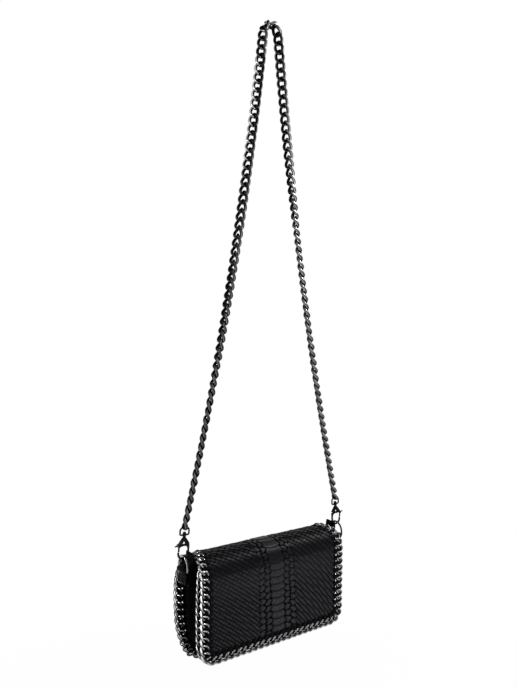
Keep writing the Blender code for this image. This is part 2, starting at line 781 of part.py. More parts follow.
def trim_joints(section, inset):
    """Joints of the edge chain, a whole number of even pitches along its line."""
    flat = trim_line(section, inset)
    runs = [0.0]
    for a, b in zip(flat, flat[1:]):
        runs.append(runs[-1] + hypot(b[0] - a[0], b[1] - a[1]))
    count = round(runs[-1] / TRIM_PITCH)
    joints = []
    downs = []
    place = 0
    for k in range(count + 1):
        goal = runs[-1] * k / count
        while place < len(flat) - 2 and runs[place + 1] < goal:
            place += 1
        share = (goal - runs[place]) / (runs[place + 1] - runs[place])
        x = flat[place][0] + (flat[place + 1][0] - flat[place][0]) * share
        down = flat[place][1] + (flat[place + 1][1] - flat[place][1]) * share
        joints.append(section.place(x, down))
        downs.append(down)
    normals = [section.facing((downs[i] + downs[i + 1]) / 2) for i in range(count)]
    return joints, normals


def edge_chain(name, section, inset, empty, origin=None):
    joints, normals = trim_joints(section, inset)
    chain = TRIM.run(name, joints, normals)
    return finished(chain, name, "trim_gunmetal", origin or joints[0], empty)


# The pouch

MOUTH_Z = RIDGE_Z - MOUTH_SHARE * BAG_HEIGHT
BASE_Z = RIDGE_Z - BASE_SHARE * BAG_HEIGHT
GUSSET_PEAK = CLAW_X - (DRING_WIRE / 2 + SEAT_GAP + TAB_LAYER) - SEAT_GAP


def between_panels(z, inset):
    """The rear and front limits of what fits between the panels at a height."""
    reach = LEATHER / 2 + inset
    return BACK.inner_y(z, reach), FRONT.inner_y(z, reach)


def gusset(side, word, empty):
    """A side of folded leather: a fold runs down its middle, and its top is drawn out to the
    tab that holds the D-ring and stands up behind it as a tongue."""
    top, bottom = MOUTH_Z, BASE_Z
    tongue_rise = PIVOT_Z - TONGUE_BELOW_PIVOT - top
    tab_bottom = DRING_BAR_Z - TAB_HEIGHT
    fold_z = RIDGE_Z - GUSSET_FOLD_FROM_SHARE * BAG_HEIGHT
    levels = [top, (top + tab_bottom) / 2, tab_bottom]
    below = GUSSET_LEVELS - len(levels)
    levels += [tab_bottom + (bottom - tab_bottom) * (i + 1) / below for i in range(below)]
    rings = []
    for z in levels:
        rear, front = between_panels(z, LEATHER_GAP)
        drawn = 1 - smooth((tab_bottom - z) / (tab_bottom - fold_z))
        crest = (rear + front) / 2 * (1 - drawn)
        outer = []
        for share in GUSSET_SHARES:
            off_middle = abs(share - 0.5)
            wave = sin(2 * pi * off_middle) * GUSSET_BULGE
            fold = -GUSSET_FOLD * max(0.0, 1 - off_middle / GUSSET_FOLD_HALF_SHARE)
            near = smooth(GUSSET_PEAK_SPREAD * (1 - 2 * off_middle - GUSSET_PEAK_FROM_SHARE))
            peak = (GUSSET_PEAK - GUSSET_HALF_SPAN) * near
            x = GUSSET_HALF_SPAN + (wave + fold) * (1 - drawn) + peak * drawn
            end = rear if share < 0.5 else front
            y = crest + (end - crest) * 2 * off_middle
            stands = z == top and off_middle <= TONGUE_HALF_SHARE
            outer.append(Vector((side * x, y, z + tongue_rise if stands else z)))
        thickness = side * GUSSET_LEATHER * X
        rings.append(outer + [point - thickness for point in reversed(outer)])
    wall = folded_loft("gusset", rings)
    origin = Vector((side * GUSSET_HALF_SPAN, BAG_SHIFT_Y, top))
    return finished(wall, f"{word}_gusset", "gusset_leather", origin, empty)


def base(empty):
    """The strip of leather between the panels' lower edges."""
    half = GUSSET_HALF_SPAN - GUSSET_FOLD - GUSSET_LEATHER - SEAT_GAP
    rings = []
    for z in (BASE_Z + LEATHER, BASE_Z):
        rear, front = between_panels(z, LEATHER_GAP)
        corners = ((-half, front), (half, front), (half, rear), (-half, rear))
        rings.append([Vector((x, y, z)) for x, y in corners])
    strip = loft("base", rings)
    return finished(strip, "base_strip", "gusset_leather", Vector((0, BAG_SHIFT_Y, BASE_Z)), empty)


def rounded_ring(half, rear, front, z, corner):
    """A rectangle with cut corners, as one ring of a loft."""
    return [
        Vector((x, y, z))
        for x, y in (
            (-half + corner, front),
            (half - corner, front),
            (half, front + corner),
            (half, rear - corner),
            (half - corner, rear),
            (-half + corner, rear),
            (-half, rear - corner),
            (-half, front + corner),
        )
    ]


def lining(empty):
    """An open pocket of cloth inside the leather."""
    half = GUSSET_HALF_SPAN - GUSSET_FOLD - GUSSET_LEATHER - SEAT_GAP
    floor = BASE_Z + LEATHER + SEAT_GAP
    levels = LINING_LEVELS
    heights = [MOUTH_Z + (floor - MOUTH_Z) * i / levels for i in range(levels + 1)]
    outer = []
    inner = []
    for z in heights:
        rear, front = between_panels(z, LEATHER_GAP)
        outer.append(rounded_ring(half, rear, front, z, LINING_CORNER))
    for i, z in enumerate(heights):
        low = z + LINING if i == len(heights) - 1 else z
        rear, front = between_panels(low, LEATHER_GAP + LINING)
        inner.append(rounded_ring(half - LINING, rear, front, low, LINING_CORNER))
    cloth = loft("lining", outer[::-1] + inner)
    return finished(cloth, "lining", "lining_cloth", Vector((0, BAG_SHIFT_Y, MOUTH_Z)), empty)


def snap_half(name, back, thickness, direction, dish, empty):
    """One disc of the magnetic snap, with a dish or a stud in its middle."""
    disc = cylinder("disc", back, back + direction * thickness, SNAP_RADIUS)
    face = back + direction * thickness
    if dish:
        floor, above = face - direction * SNAP_DISH_DEPTH, face + direction * CUT_OVERRUN
        boolean(disc, cylinder("dish", floor, above, SNAP_DISH_RADIUS), "DIFFERENCE")
    else:
        tip = face + direction * (SNAP_DISH_DEPTH - SEAT_GAP)
        boolean(disc, cylinder("stud", back, tip, SNAP_DISH_RADIUS - SEAT_GAP), "UNION")
    return finished(disc, name, "snap_metal", back, empty)


def tab(side, word, empty):
    """A strip of leather folded over the D-ring's bar and sewn to the gusset."""
    inner_radius = DRING_WIRE / 2 + SEAT_GAP
    outer_radius = inner_radius + TAB_LAYER
    middle = Vector((CLAW_X, 0, DRING_BAR_Z))
    start_angle, end_angle = pi, -asin((2 * TAB_LAYER - outer_radius) / outer_radius)
    round_top = arc(middle, outer_radius, start_angle, end_angle, TAB_STEPS, X, Z)
    foot_z = DRING_BAR_Z - TAB_HEIGHT
    outline = [
        Vector((CLAW_X - outer_radius, 0, foot_z)),
        *round_top,
        Vector((round_top[-1].x, 0, DRING_BAR_Z - outer_radius)),
        Vector((CLAW_X - outer_radius + 2 * TAB_LAYER, 0, DRING_BAR_Z - 2 * outer_radius)),
        Vector((CLAW_X - outer_radius + 2 * TAB_LAYER, 0, foot_z)),
    ]
    outline = [Vector((side * p.x, -TAB_WIDTH / 2, p.z)) for p in outline]
    strip = extruded("tab", outline, TAB_WIDTH * Y)
    centre = Vector((side * CLAW_X, 0, DRING_BAR_Z))
    reach = (TAB_WIDTH / 2 + CUT_OVERRUN) * Y
    low, high = centre - reach, centre + reach
    bore = cylinder("bore", low, high, inner_radius, SMALL_ROUND_SIDES)
    boolean(strip, bore, "DIFFERENCE")
    return finished(strip, f"{word}_ring_tab", "gusset_leather", centre, empty)


def d_ring(side, word, empty):
    """A D-ring that stands up through the claw's eye, with its bar in the tab."""
    bar_centre = Vector((side * CLAW_X, 0, DRING_BAR_Z))
    bow_centre = bar_centre + (DRING_HEIGHT - DRING_HALF_WIDTH) * Z
    bow = arc(bow_centre, DRING_HALF_WIDTH, 0, pi, DRING_STEPS, Y, Z)
    line = [bar_centre + DRING_HALF_WIDTH * Y, *bow, bar_centre - DRING_HALF_WIDTH * Y]
    ring = bar("d_ring", line, DRING_WIRE / 2, WIRE_SIDES, closed=True, side_axis=X)
    return finished(ring, f"{word}_d_ring", "strap_gunmetal", bar_centre, empty)


def make_bag():
    pivot = joint_empty("bag_axis", Vector((0, 0, PIVOT_Z)))
    back_origin = Vector((0, BAG_SHIFT_Y, RIDGE_Z))
    panel = leather("back", BACK, LEATHER)
    finished(panel, "back_panel", "python_leather", back_origin, pivot)
    panel = leather("front", FRONT, LEATHER)
    finished(panel, "front_panel", "python_leather", back_origin, pivot)
    edge_chain("back_edge_chain", BACK, BACK_CHAIN_INSET, pivot)
    edge_chain("front_edge_chain", FRONT, 0.0, pivot)
    base(pivot)
    lining(pivot)
    snap_z = RIDGE_Z - SNAP_SHARE * BAG_HEIGHT
    seat = Vector((0, FRONT.y_at(snap_z) - LEATHER / 2 - SEAT_GAP, snap_z))
    snap_half("snap_socket", seat, SNAP_SOCKET_THICKNESS, -Y, True, pivot)
    for side, word in ((-1, "left"), (1, "right")):
        gusset(side, word, pivot)
        tab(side, word, pivot)
        ring_axis = joint_empty(f"{word}_ring_axis", Vector((side * CLAW_X, 0, DRING_BAR_Z)))
        d_ring(side, word, ring_axis)


def make_flap():
    """The flap turns on the crease along the back panel's top edge."""
    crease = BACK.points[0].lerp(FLAP.points[0], 0.5)
    axis = joint_empty("flap_axis", crease)
    panel = leather("flap", FLAP, FLAP_LEATHER)
    finished(panel, "flap_panel", "python_leather", crease, axis)
    edge_chain("flap_edge_chain", FLAP, FLAP_CHAIN_INSET, axis, crease)
    snap_z = RIDGE_Z - SNAP_SHARE * BAG_HEIGHT
    face = FLAP.y_at(snap_z) + FLAP_LEATHER / 2 + SEAT_GAP
    socket_face = FRONT.y_at(snap_z) - LEATHER / 2 - SEAT_GAP - SNAP_SOCKET_THICKNESS
    thickness = socket_face - SEAT_GAP - face
    snap_half("snap_stud", Vector((0, face, snap_z)), thickness, Y, False, axis)


def main():
    clear_scene()
    make_strap()
    make_clasps()
    make_bag()
    make_flap()
    bpy.context.view_layer.update()


main()
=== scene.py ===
"""The looks of the chain-strap flap bag.

Fine curb links, laced edges, embossed leather, folded gussets and cast claws stand for the CAD
solids. Metres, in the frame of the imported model: +Z up, the flap's front towards -Y.
"""

from math import asin, cos, hypot, pi, radians, sin

import bpy
import numpy as np
from mathutils import Matrix, Vector


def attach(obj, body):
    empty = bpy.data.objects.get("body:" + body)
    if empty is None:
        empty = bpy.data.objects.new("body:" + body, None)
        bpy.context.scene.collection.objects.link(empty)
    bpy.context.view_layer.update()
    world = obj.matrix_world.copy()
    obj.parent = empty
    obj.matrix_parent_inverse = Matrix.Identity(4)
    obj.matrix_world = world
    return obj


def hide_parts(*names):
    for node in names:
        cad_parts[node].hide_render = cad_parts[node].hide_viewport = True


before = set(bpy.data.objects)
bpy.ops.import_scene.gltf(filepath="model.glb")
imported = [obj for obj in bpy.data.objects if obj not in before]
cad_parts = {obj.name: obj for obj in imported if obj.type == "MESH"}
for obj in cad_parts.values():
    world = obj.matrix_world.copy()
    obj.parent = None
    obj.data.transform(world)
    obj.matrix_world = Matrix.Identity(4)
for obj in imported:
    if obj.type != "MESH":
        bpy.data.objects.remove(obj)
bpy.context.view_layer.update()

# Values that part.py gives its solids
SEAT_GAP = 0.0003
FUSE_DEPTH = 0.0002
EYE_PLAY = 0.0005
LEATHER_GAP = 0.0006
STRAP_PITCH, STRAP_WIRE, STRAP_WIDTH, STRAP_RISE = 0.00985, 0.0026, 0.012, 0.0018
STRAP_LINKS_PER_SIDE = 58
BEND_LINK_TILT = radians(58)
BEND_LINKS_PER_SIDE = 4
STRAND_TILT_TOP = radians(6.4)
STRAND_TWIST = radians(55)
TWIST_LINKS = 3
SWIVEL_WIRE, SWIVEL_HEIGHT, SWIVEL_HALF_WIDTH = 0.0019, 0.0095, 0.0054
SWIVEL_SHOULDER_SHARE, SWIVEL_TOP_SHARE = 0.62, 0.36
BARREL_RADIUS, BARREL_LENGTH = 0.0021, 0.0038
CLAW_LEAN = radians(4)
POST_RADIUS, POST_CLEARANCE, POST_HEAD_RADIUS = 0.0010, 0.00025, 0.0017
CLAW_BODY_HEIGHT, CLAW_BODY_THICKNESS = 0.0105, 0.0046
CLAW_WIRE, EYE_HALF_WIDTH, EYE_HEIGHT = 0.0025, 0.0048, 0.0120
GATE_THICKNESS, GATE_SLOT, GATE_WIDTH, GATE_LEVER_LENGTH = 0.0011, 0.0032, 0.0021, 0.0042
GATE_TIP_SHARE = 0.5
PIN_BORE = 0.0008
DRING_WIRE, DRING_HEIGHT, DRING_HALF_WIDTH, DRING_STAND_OFF = 0.0022, 0.0155, 0.0108, 0.0089
TAB_LAYER, TAB_WIDTH, TAB_HEIGHT = 0.0013, 0.0186, 0.0160
BAG_WIDTH, BAG_HEIGHT, RIDGE_ABOVE_PIVOT = 0.2034, 0.1175, 0.0014
LEATHER, FLAP_LEATHER, GUSSET_LEATHER, LINING = 0.0022, 0.0024, 0.0016, 0.0010
BAG_SHIFT_Y, BAG_DEPTH_FRONT = 0.0023, 0.0245
TRIM_PITCH, TRIM_WIDTH, TRIM_RISE = 0.0081, 0.0115, 0.0016
TRIM_CORNER_RADIUS, FLAP_CHAIN_INSET = 0.011, 0.0030
BACK_SHARES = (
    (-0.70, 0.065), (-1.02, 0.155), (-1.30, 0.270), (-1.46, 0.390), (-1.46, 0.600),
    (-1.40, 0.740), (-1.12, 0.865), (-0.66, 0.945), (-0.36, 0.968), (0.08, 0.974),
)
FRONT_SHARES = (
    (0.68, 0.125), (0.62, 0.250), (0.57, 0.450), (0.57, 0.750), (0.61, 0.860), (0.66, 0.953),
)
FLAP_SHARES = (
    (-0.60, 0.045), (-0.30, 0.024), (0.04, 0.019), (0.36, 0.027), (0.65, 0.055),
    (0.86, 0.100), (0.97, 0.160), (1.00, 0.240), (1.00, 0.600), (1.00, 0.953),
)
MOUTH_SHARE, BASE_SHARE = 0.115, 0.895
GUSSET_INSET, GUSSET_BULGE, GUSSET_FOLD = 0.0029, 0.0050, 0.0050
GUSSET_FOLD_FROM_SHARE, GUSSET_FOLD_HALF_SHARE = 0.36, 0.2
GUSSET_PEAK_FROM_SHARE, GUSSET_PEAK_SPREAD = 0.14, 3.6
LINING_CORNER = 0.0020

# Values of the looks alone
HAND = -1
LINK_STEPS, LINK_SIDES = 32, 10
LINK_ENDS, LINK_SWELL = 0.96, 0.12
STRAP_WIRE_SEEN, STRAND_RISE_SEEN, TRIM_WIRE_SEEN = 0.0034, 0.0021, 0.0031
STRAND_LINK_TILT, EDGE_LINK_TILT = radians(2.0), radians(3.5)
TWIST_SHARES = {-1: (0.16, 0.80), 1: (0.12, 0.42)}
TWIST_TOTAL = radians(88)
# each link's bright tops, partly wear from rubbing and partly a painted highlight: their spread
# and centre in radians round the wire, and the strength of a painted highlight on one rim
STRAP_WEAR_AND_HIGHLIGHTS = {-1: (0.32, 0.85, 1.0), 1: (0.40, 0.80, 0.2)}
FLAP_WEAR_AND_HIGHLIGHT, INNER_WEAR_AND_HIGHLIGHT = (1.0, 1.15, 0.0), (0.50, 1.35, 0.0)
# where round the wire the painted rim highlight sits, and over which links of a piece it fades
RIM_HIGHLIGHT_CENTRE, RIM_HIGHLIGHT_SPREAD, RIM_HIGHLIGHT_FADE_FROM, RIM_HIGHLIGHT_FADE_OVER, RIM_HIGHLIGHT_FADE = 0.8, 1.1, 0.14, 0.16, 0.90
LACE_WIDTH, LACE_THICKNESS, LACE_CORNER, LACE_SWELL = 0.0048, 0.0011, 0.00034, 0.00022
LACE_IN, LACE_OUT, LACE_HALF, LACE_SLANT = -0.0008, 0.0099, 0.00192, 0.0008
LACE_WAIST, LACE_WAIST_TO, LACE_WAIST_OVER = 0.00125, 0.0016, 0.0034
LACE_TURN_FROM, LACE_TURN_SHARE = 0.93, 0.84
# how far the stitches are from even, in metres along the edge and in radians
LACE_SHIFTS, LACE_TURNS = 0.00022, 0.035
GATE_SEEN = 0.0015
CASTING_VOXEL, CASTING_ROUNDS = 0.00024, 3
SKIN_MARGIN, EDGE_PLAIN = 0.0004, 0.0035
SKIN_EDGE_POINTS, SKIN_END_THINNEST = 5, 0.06
FLAP_DRAWN_IN, FLAP_DRAWN_OVER = 0.0085, 0.038
CREASE_RADIUS, CREASE_END_INSET = 0.0014, 0.0095
BACK_CHAIN_INSET_SEEN = 0.0010
TONGUE_FRONT_SHARE, TONGUE_REAR_SHARE, TONGUE_TOP_Z, TONGUE_FACE_X = 0.33, 0.22, -0.5862, 0.1024
TONGUE_LEATHER = 0.0009
GUSSET_RIPPLE, BASE_DISH, LINING_SAG = 0.0005, 0.00025, 0.0003
TAB_TAPER, TAB_END_ROUND, STITCH_LENGTH, THREAD_RADIUS = 0.60, 0.0022, 0.0022, 0.00022
BINDING_RADIUS = 0.00085
FLOOR_Z, FLOOR_REACH = -1.06, 1.3
# from how far and to how far out the floor fades, and how white it is at each
FLOOR_FADE = (0.25, 0.9, 0.86, 1.0)
GLOW = 0.45
BAG_PLACE = (0, 0, -0.62)
LAMPS = (
    ("key", (-1.0, -0.8, -0.05), (0.25, 0.70), 5.5),
    ("fill", (0.45, -0.66, -1.01), (0.26, 0.16), 2.0),
    ("top", (0.72, -0.20, 0.36), (0.50, 0.20), 9.0),
    ("left_rim", (-0.95, 0.55, -0.15), (0.10, 0.60), 3.8),
    ("right_rim", (1.05, 0.10, 0.0), (0.08, 0.70), 3.0),
)

Y, Z = Vector((0, 1, 0)), Vector((0, 0, 1))
WHITE = (1, 1, 1, 1)
STRAP_HALF_THICKNESS = STRAP_RISE + STRAP_WIRE / 2
BOW_RISE = (FUSE_DEPTH + SWIVEL_WIRE) / 2 + SEAT_GAP
EYE_DROP = (CLAW_WIRE + DRING_WIRE) / 2 + EYE_PLAY
CLAW_REACH = BARREL_LENGTH / 2 + SEAT_GAP + CLAW_BODY_HEIGHT + EYE_HEIGHT + CLAW_WIRE / 2
STRAND_END_TO_DRING = SWIVEL_HEIGHT - BOW_RISE + CLAW_REACH - EYE_DROP
CLAW_X = BAG_WIDTH / 2 + DRING_STAND_OFF
STRAND_END_X = CLAW_X - STRAND_END_TO_DRING * sin(CLAW_LEAN)
SIDES = ((-1, "left"), (1, "right"))


def smooth(value):
    value = min(max(value, 0.0), 1.0)
    return value * value * (3 - 2 * value)


def smooth_all(values):
    values = np.clip(values, 0.0, 1.0)
    return values * values * (3 - 2 * values)


# Materials


class Nodes:
    """A node tree built node by node."""

    def __init__(self, tree):
        self.tree = tree

    def put(self, value, socket):
        """Links an output to a socket, or sets the socket to a value."""
        if isinstance(value, bpy.types.NodeSocket):
            self.tree.links.new(value, socket)
        else:
            socket.default_value = value

    def node(self, kind, inputs=None, **settings):
        made = self.tree.nodes.new("ShaderNode" + kind)
        for key, value in settings.items():
            setattr(made, key, value)
        for key, value in (inputs or {}).items():
            self.put(value, made.inputs[key])
        return made

    def maths(self, operation, a, b):
        return self.node("Math", {0: a, 1: b}, operation=operation).outputs[0]

    def mixed_shader(self, share, first, second):
        return self.node("MixShader", {"Fac": share, 1: first, 2: second}).outputs[0]


class Paint(Nodes):
    """A procedural material on object coordinates."""

    def __init__(self, name, **values):
        self.material = bpy.data.materials.new(name)
        self.material.use_nodes = True
        super().__init__(self.material.node_tree)
        self.shader = self.tree.nodes["Principled BSDF"]
        self.place = self.node("TexCoord").outputs["Object"]
        self.height = None
        self.set(**values)

    def set(self, **values):
        for key, value in values.items():
            value = (*value, 1.0) if isinstance(value, tuple) else value
            self.put(value, self.shader.inputs[key.replace("_", " ")])

    def stretched(self, *scale):
        """Object coordinates times three factors."""
        return self.node("Mapping", {"Scale": scale, "Vector": self.place}).outputs["Vector"]

    def noise(self, scale, detail=3.0, vector=None):
        inputs = {"Scale": scale, "Detail": detail, "Roughness": 0.55}
        inputs["Vector"] = vector or self.place
        return self.node("TexNoise", inputs).outputs["Fac"]

    def cells(self, size):
        inputs = {"Scale": 1 / size, "Vector": self.place}
        return self.node("TexVoronoi", inputs, feature="DISTANCE_TO_EDGE").outputs["Distance"]

    def wave(self, scale, direction):
        inputs = {"Scale": scale, "Distortion": 0.0, "Vector": self.place}
        return self.node("TexWave", inputs, bands_direction=direction).outputs["Fac"]

    def attribute(self, name):
        return self.node("Attribute", attribute_name=name).outputs["Fac"]

    def spread(self, value, low, high, low_to, high_to):
        """Maps a range of one value to another range, clamped."""
        inputs = {"From Min": low, "From Max": high, "To Min": low_to, "To Max": high_to}
        return self.node("MapRange", {**inputs, "Value": value}).outputs["Result"]

    def colour(self, value, *stops):
        """A colour ramp on a value; each of its two stops is a place and a colour."""
        ramp = self.node("ValToRGB", {"Fac": value})
        for stop, (place, rgb) in zip(ramp.color_ramp.elements, stops):
            stop.position = place
            stop.color = (*rgb, 1.0)
        return ramp.outputs["Color"]

    def mixed(self, share, first, second):
        inputs = {0: share, 6: first, 7: (*second, 1.0)}
        return self.node("Mix", inputs, data_type="RGBA").outputs[2]

    def bump(self, value, strength, distance):
        """Stacks one more bump on those before it."""
        inputs = {"Strength": strength, "Distance": distance, "Height": value}
        if self.height is not None:
            inputs["Normal"] = self.height
        self.height = self.node("Bump", inputs).outputs["Normal"]
        self.set(Normal=self.height)


def plated_metal(name, dark, bright, wear_and_highlight, rough):
    """Plated wire: dark in its recesses and bright on the wire's tops, partly wear from rubbing
    and partly a painted highlight, with a cloudy tone, faint scratches and a changing gloss.
    """
    paint = Paint(name, Metallic=1.0, Specular_Tint=(0.30, 0.30, 0.32))
    cloud = paint.colour(paint.noise(160.0, 4.0), (0.30, dark), (0.70, bright))
    # noise patches and the mesh's mask mix in the bright colour: a painted highlight on the wire's
    # tops and one rim, partly also wear from rubbing
    patches = paint.spread(paint.noise(140.0, 2.0), 0.30, 0.50, 0.65, 1.0)
    wear_and_highlit = paint.maths("MULTIPLY", paint.attribute("wear_and_highlight"), patches)
    paint.set(Base_Color=paint.mixed(wear_and_highlit, cloud, wear_and_highlight))
    paint.set(Roughness=paint.spread(paint.noise(900.0, 2.0), 0.3, 0.7, *rough))
    paint.bump(paint.noise(2600.0, 2.0, paint.stretched(1, 1, 0.25)), 0.10, 0.00004)
    return paint.material


def plain_leather(name, colour, sheen_colour, rough, grain, depth):
    """Grained leather: pebbles between fine creases, with pores."""
    paint = Paint(name, Specular_IOR_Level=0.008)
    paint.set(Base_Color=paint.colour(paint.noise(70.0, 4.0), (0.35, colour), (0.75, sheen_colour)))
    paint.set(Roughness=paint.spread(paint.noise(500.0), 0.3, 0.7, rough - 0.07, rough + 0.08))
    paint.bump(paint.spread(paint.cells(grain), 0.0, 0.12, 0.0, 1.0), 0.35, depth)
    paint.bump(paint.noise(3200.0), 0.25, 0.00006)
    return paint.material


def python_leather(dark, bright, groove_painted_shade):
    """Black leather embossed with scales: painted shade darkens the grooves, which are also duller,
    and a fine grain.
    """
    paint = Paint("python_leather")
    groove = paint.attribute("groove")
    top = paint.colour(paint.noise(45.0, 4.0), (0.30, dark), (0.72, bright))
    # the groove mask darkens the base colour and lowers the gloss: painted shade in the grooves
    paint.set(
        Base_Color=paint.mixed(paint.spread(groove, 0.10, 0.62, 0.0, 1.0), top, groove_painted_shade),
        Specular_IOR_Level=paint.spread(groove, 0.15, 0.60, 0.07, 0.004),
    )
    grain = paint.spread(paint.noise(420.0), 0.3, 0.7, 0.28, 0.42)
    paint.set(Roughness=paint.maths("ADD", grain, paint.spread(groove, 0.2, 0.8, 0.0, 0.4)))
    paint.bump(paint.spread(paint.cells(0.00075), 0.0, 0.10, 0.0, 1.0), 0.22, 0.00010)
    paint.bump(paint.noise(2600.0), 0.20, 0.00005)
    return paint.material


def dull_strand(name, specular, tone, stops, rough, fuzz):
    """Lace or thread: a soft change of tone and gloss over a fine fuzz."""
    paint = Paint(name, Specular_IOR_Level=specular)
    tone = paint.noise(*tone)
    paint.set(Base_Color=paint.colour(tone, *stops), Roughness=paint.spread(tone, 0.3, 0.7, *rough))
    scale, detail, strength, depth = fuzz
    paint.bump(paint.noise(scale, detail), strength, depth)
    return paint.material


def woven_lining(dark, bright):
    paint = Paint(
        "woven_lining", Specular_IOR_Level=0.2, Sheen_Weight=0.15, Sheen_Roughness=0.5
    )
    weave = paint.maths("MULTIPLY", paint.wave(520.0, "X"), paint.wave(520.0, "Z"))
    paint.set(Base_Color=paint.colour(paint.noise(30.0), (0.3, dark), (0.7, bright)))
    paint.set(Roughness=paint.spread(weave, 0.0, 1.0, 0.92, 0.72))
    paint.bump(weave, 0.55, 0.00020)
    return paint.material


def brushed_metal(name, dark, bright, rough):
    paint = Paint(name, Metallic=1.0)
    lines = paint.noise(1400.0, 3.0, paint.stretched(1.0, 1.0, 0.06))
    paint.set(Base_Color=paint.colour(lines, (0.30, dark), (0.70, bright)))
    paint.set(Roughness=paint.spread(lines, 0.3, 0.7, rough - 0.06, rough + 0.08))
    paint.bump(lines, 0.15, 0.00004)
    return paint.material


# the fourth colour of each is that of the painted highlight, partly also wear from rubbing
STRAP_METAL = plated_metal(
    "black_nickel", (0.003, 0.003, 0.004), (0.011, 0.011, 0.013), (0.72, 0.72, 0.74), (0.12, 0.22)
)
TRIM_METAL = plated_metal(
    "trim_nickel", (0.018, 0.018, 0.021), (0.050, 0.050, 0.055), (0.97, 0.97, 0.98), (0.10, 0.20)
)
# the third colour is the painted shade in the grooves
PYTHON = python_leather(
    (0.0020, 0.0022, 0.0034), (0.0050, 0.0054, 0.0082), (0.0007, 0.0007, 0.0009)
)
GUSSET_SKIN = plain_leather(
    "gusset_leather", (0.0008, 0.0008, 0.0010), (0.0022, 0.0022, 0.0028), 0.32, 0.0011, 0.00022
)
FLESH_SIDE = plain_leather(
    "leather_inner", (0.0030, 0.0030, 0.0034), (0.0070, 0.0070, 0.0078), 0.62, 0.0006, 0.00010
)
LACE = dull_strand(
    "lace_leather",
    specular=0.02,
    tone=(260.0, 4.0),
    stops=((0.30, (0.0006, 0.0006, 0.0008)), (0.75, (0.0028, 0.0028, 0.0034))),
    rough=(0.42, 0.56),
    fuzz=(1500.0, 4.0, 0.35, 0.00012),
)
THREAD = dull_strand(
    "waxed_thread",
    specular=0.3,
    tone=(900.0, 3.0),
    stops=((0.3, (0.006, 0.006, 0.007)), (0.7, (0.018, 0.018, 0.020))),
    rough=(0.5, 0.65),
    fuzz=(5000.0, 2.0, 0.4, 0.00006),
)
CLOTH = woven_lining((0.010, 0.010, 0.011), (0.020, 0.020, 0.022))
SNAP = brushed_metal("snap_plate", (0.17, 0.17, 0.185), (0.27, 0.27, 0.285), 0.30)
SPRING = brushed_metal("spring_wire", (0.42, 0.42, 0.43), (0.58, 0.58, 0.59), 0.28)


# Meshes: a shape is a pair of arrays, its points and its four-sided faces


def placed(name, data):
    """A new object in the scene."""
    thing = bpy.data.objects.new(name, data)
    bpy.context.scene.collection.objects.link(thing)
    return thing


def dressed(thing, body, nodes=(), materials=()):
    """Puts an object on its body, the nodes it replaces and its materials."""
    thing.data.materials.clear()
    for paint in materials:
        thing.data.materials.append(paint)
    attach(thing, body)
    if nodes:
        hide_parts(*nodes)
    return thing


def mesh_piece(name, shape, body, slot, nodes, *materials):
    """One smooth object of the scene from a shape."""
    verts = np.asarray(shape[0], dtype=np.float32)
    quads = np.asarray(shape[1], dtype=np.int32)
    mesh = bpy.data.meshes.new(name)
    mesh.vertices.add(len(verts))
    mesh.vertices.foreach_set("co", verts.ravel())
    mesh.loops.add(quads.size)
    mesh.loops.foreach_set("vertex_index", quads.ravel())
    mesh.polygons.add(len(quads))
    mesh.polygons.foreach_set("loop_start", np.arange(0, quads.size, 4, dtype=np.int32))
    mesh.update(calc_edges=True)
    mesh.shade_smooth()
    return dressed(placed(name, mesh), body, nodes, materials)


def add_values(piece, name, values):
    layer = piece.data.attributes.new(name, "FLOAT", "POINT")
    layer.data.foreach_set("value", np.asarray(values, dtype=np.float32))


def unit(rows):
    return rows / np.linalg.norm(rows, axis=-1, keepdims=True)


def square_to(rows, along):
    """The rows made square to the directions along, at unit length."""
    return unit(rows - along * np.sum(rows * along, axis=1, keepdims=True))


def run_lengths(line):
    """How far along a line each of its points lies."""
    return np.concatenate([[0], np.cumsum(np.linalg.norm(np.diff(line, axis=0), axis=1))])


def grid_quads(rows, columns, wrap_rows=False, wrap_columns=False):
    """Faces of a grid of points, row by row, closed round either way where asked."""
    i = np.arange(rows if wrap_rows else rows - 1)
    k = np.arange(columns if wrap_columns else columns - 1)
    i, k = np.meshgrid(i, k, indexing="ij")
    low, high, k2 = i * columns, (i + 1) % rows * columns, (k + 1) % columns
    return np.stack([low + k, low + k2, high + k2, high + k], axis=-1).reshape(-1, 4)


def tube(path, radii, sides, closed=True, side=None, flatten=1.0):
    """The shape round a line: one row of a circle or an ellipse for each of its points."""
    path = np.asarray(path, float)
    radii = np.broadcast_to(np.asarray(radii, float), (len(path),))
    if closed:
        along = unit(np.roll(path, -1, axis=0) - np.roll(path, 1, axis=0))
    else:
        along = unit(np.gradient(path, axis=0))
    if side is None:
        side = [np.array(Vector(along[0]).orthogonal().normalized())]
        for a in along[1:]:
            side.append(unit(side[-1] - a * (side[-1] @ a)))
    side = square_to(np.broadcast_to(np.asarray(side, float), path.shape), along)
    other = np.cross(along, side)
    angle = 2 * pi * np.arange(sides) / sides
    ring = np.cos(angle)[None, :, None] * side[:, None] * flatten
    ring = ring + np.sin(angle)[None, :, None] * other[:, None]
    points = (path[:, None] + radii[:, None, None] * ring).reshape(-1, 3)
    return points, grid_quads(len(path), sides, closed, True)


def capped(shape, columns):
    """Closes both ends of a tube with a point each, as flat fans of four-sided faces."""
    points, quads = shape
    a, b = len(points), len(points) + 1
    k = np.arange(0, columns, 2)
    after, before = (k + 1) % columns, (k - 1) % columns
    last = a - columns
    fans = [
        np.stack([after, k, before, np.full(len(k), a)], axis=1),
        np.stack([last + before, last + k, last + after, np.full(len(k), b)], axis=1),
    ]
    centres = [points[:columns].mean(axis=0), points[last:].mean(axis=0)]
    return np.vstack([points, *centres]), np.vstack([quads, *fans])


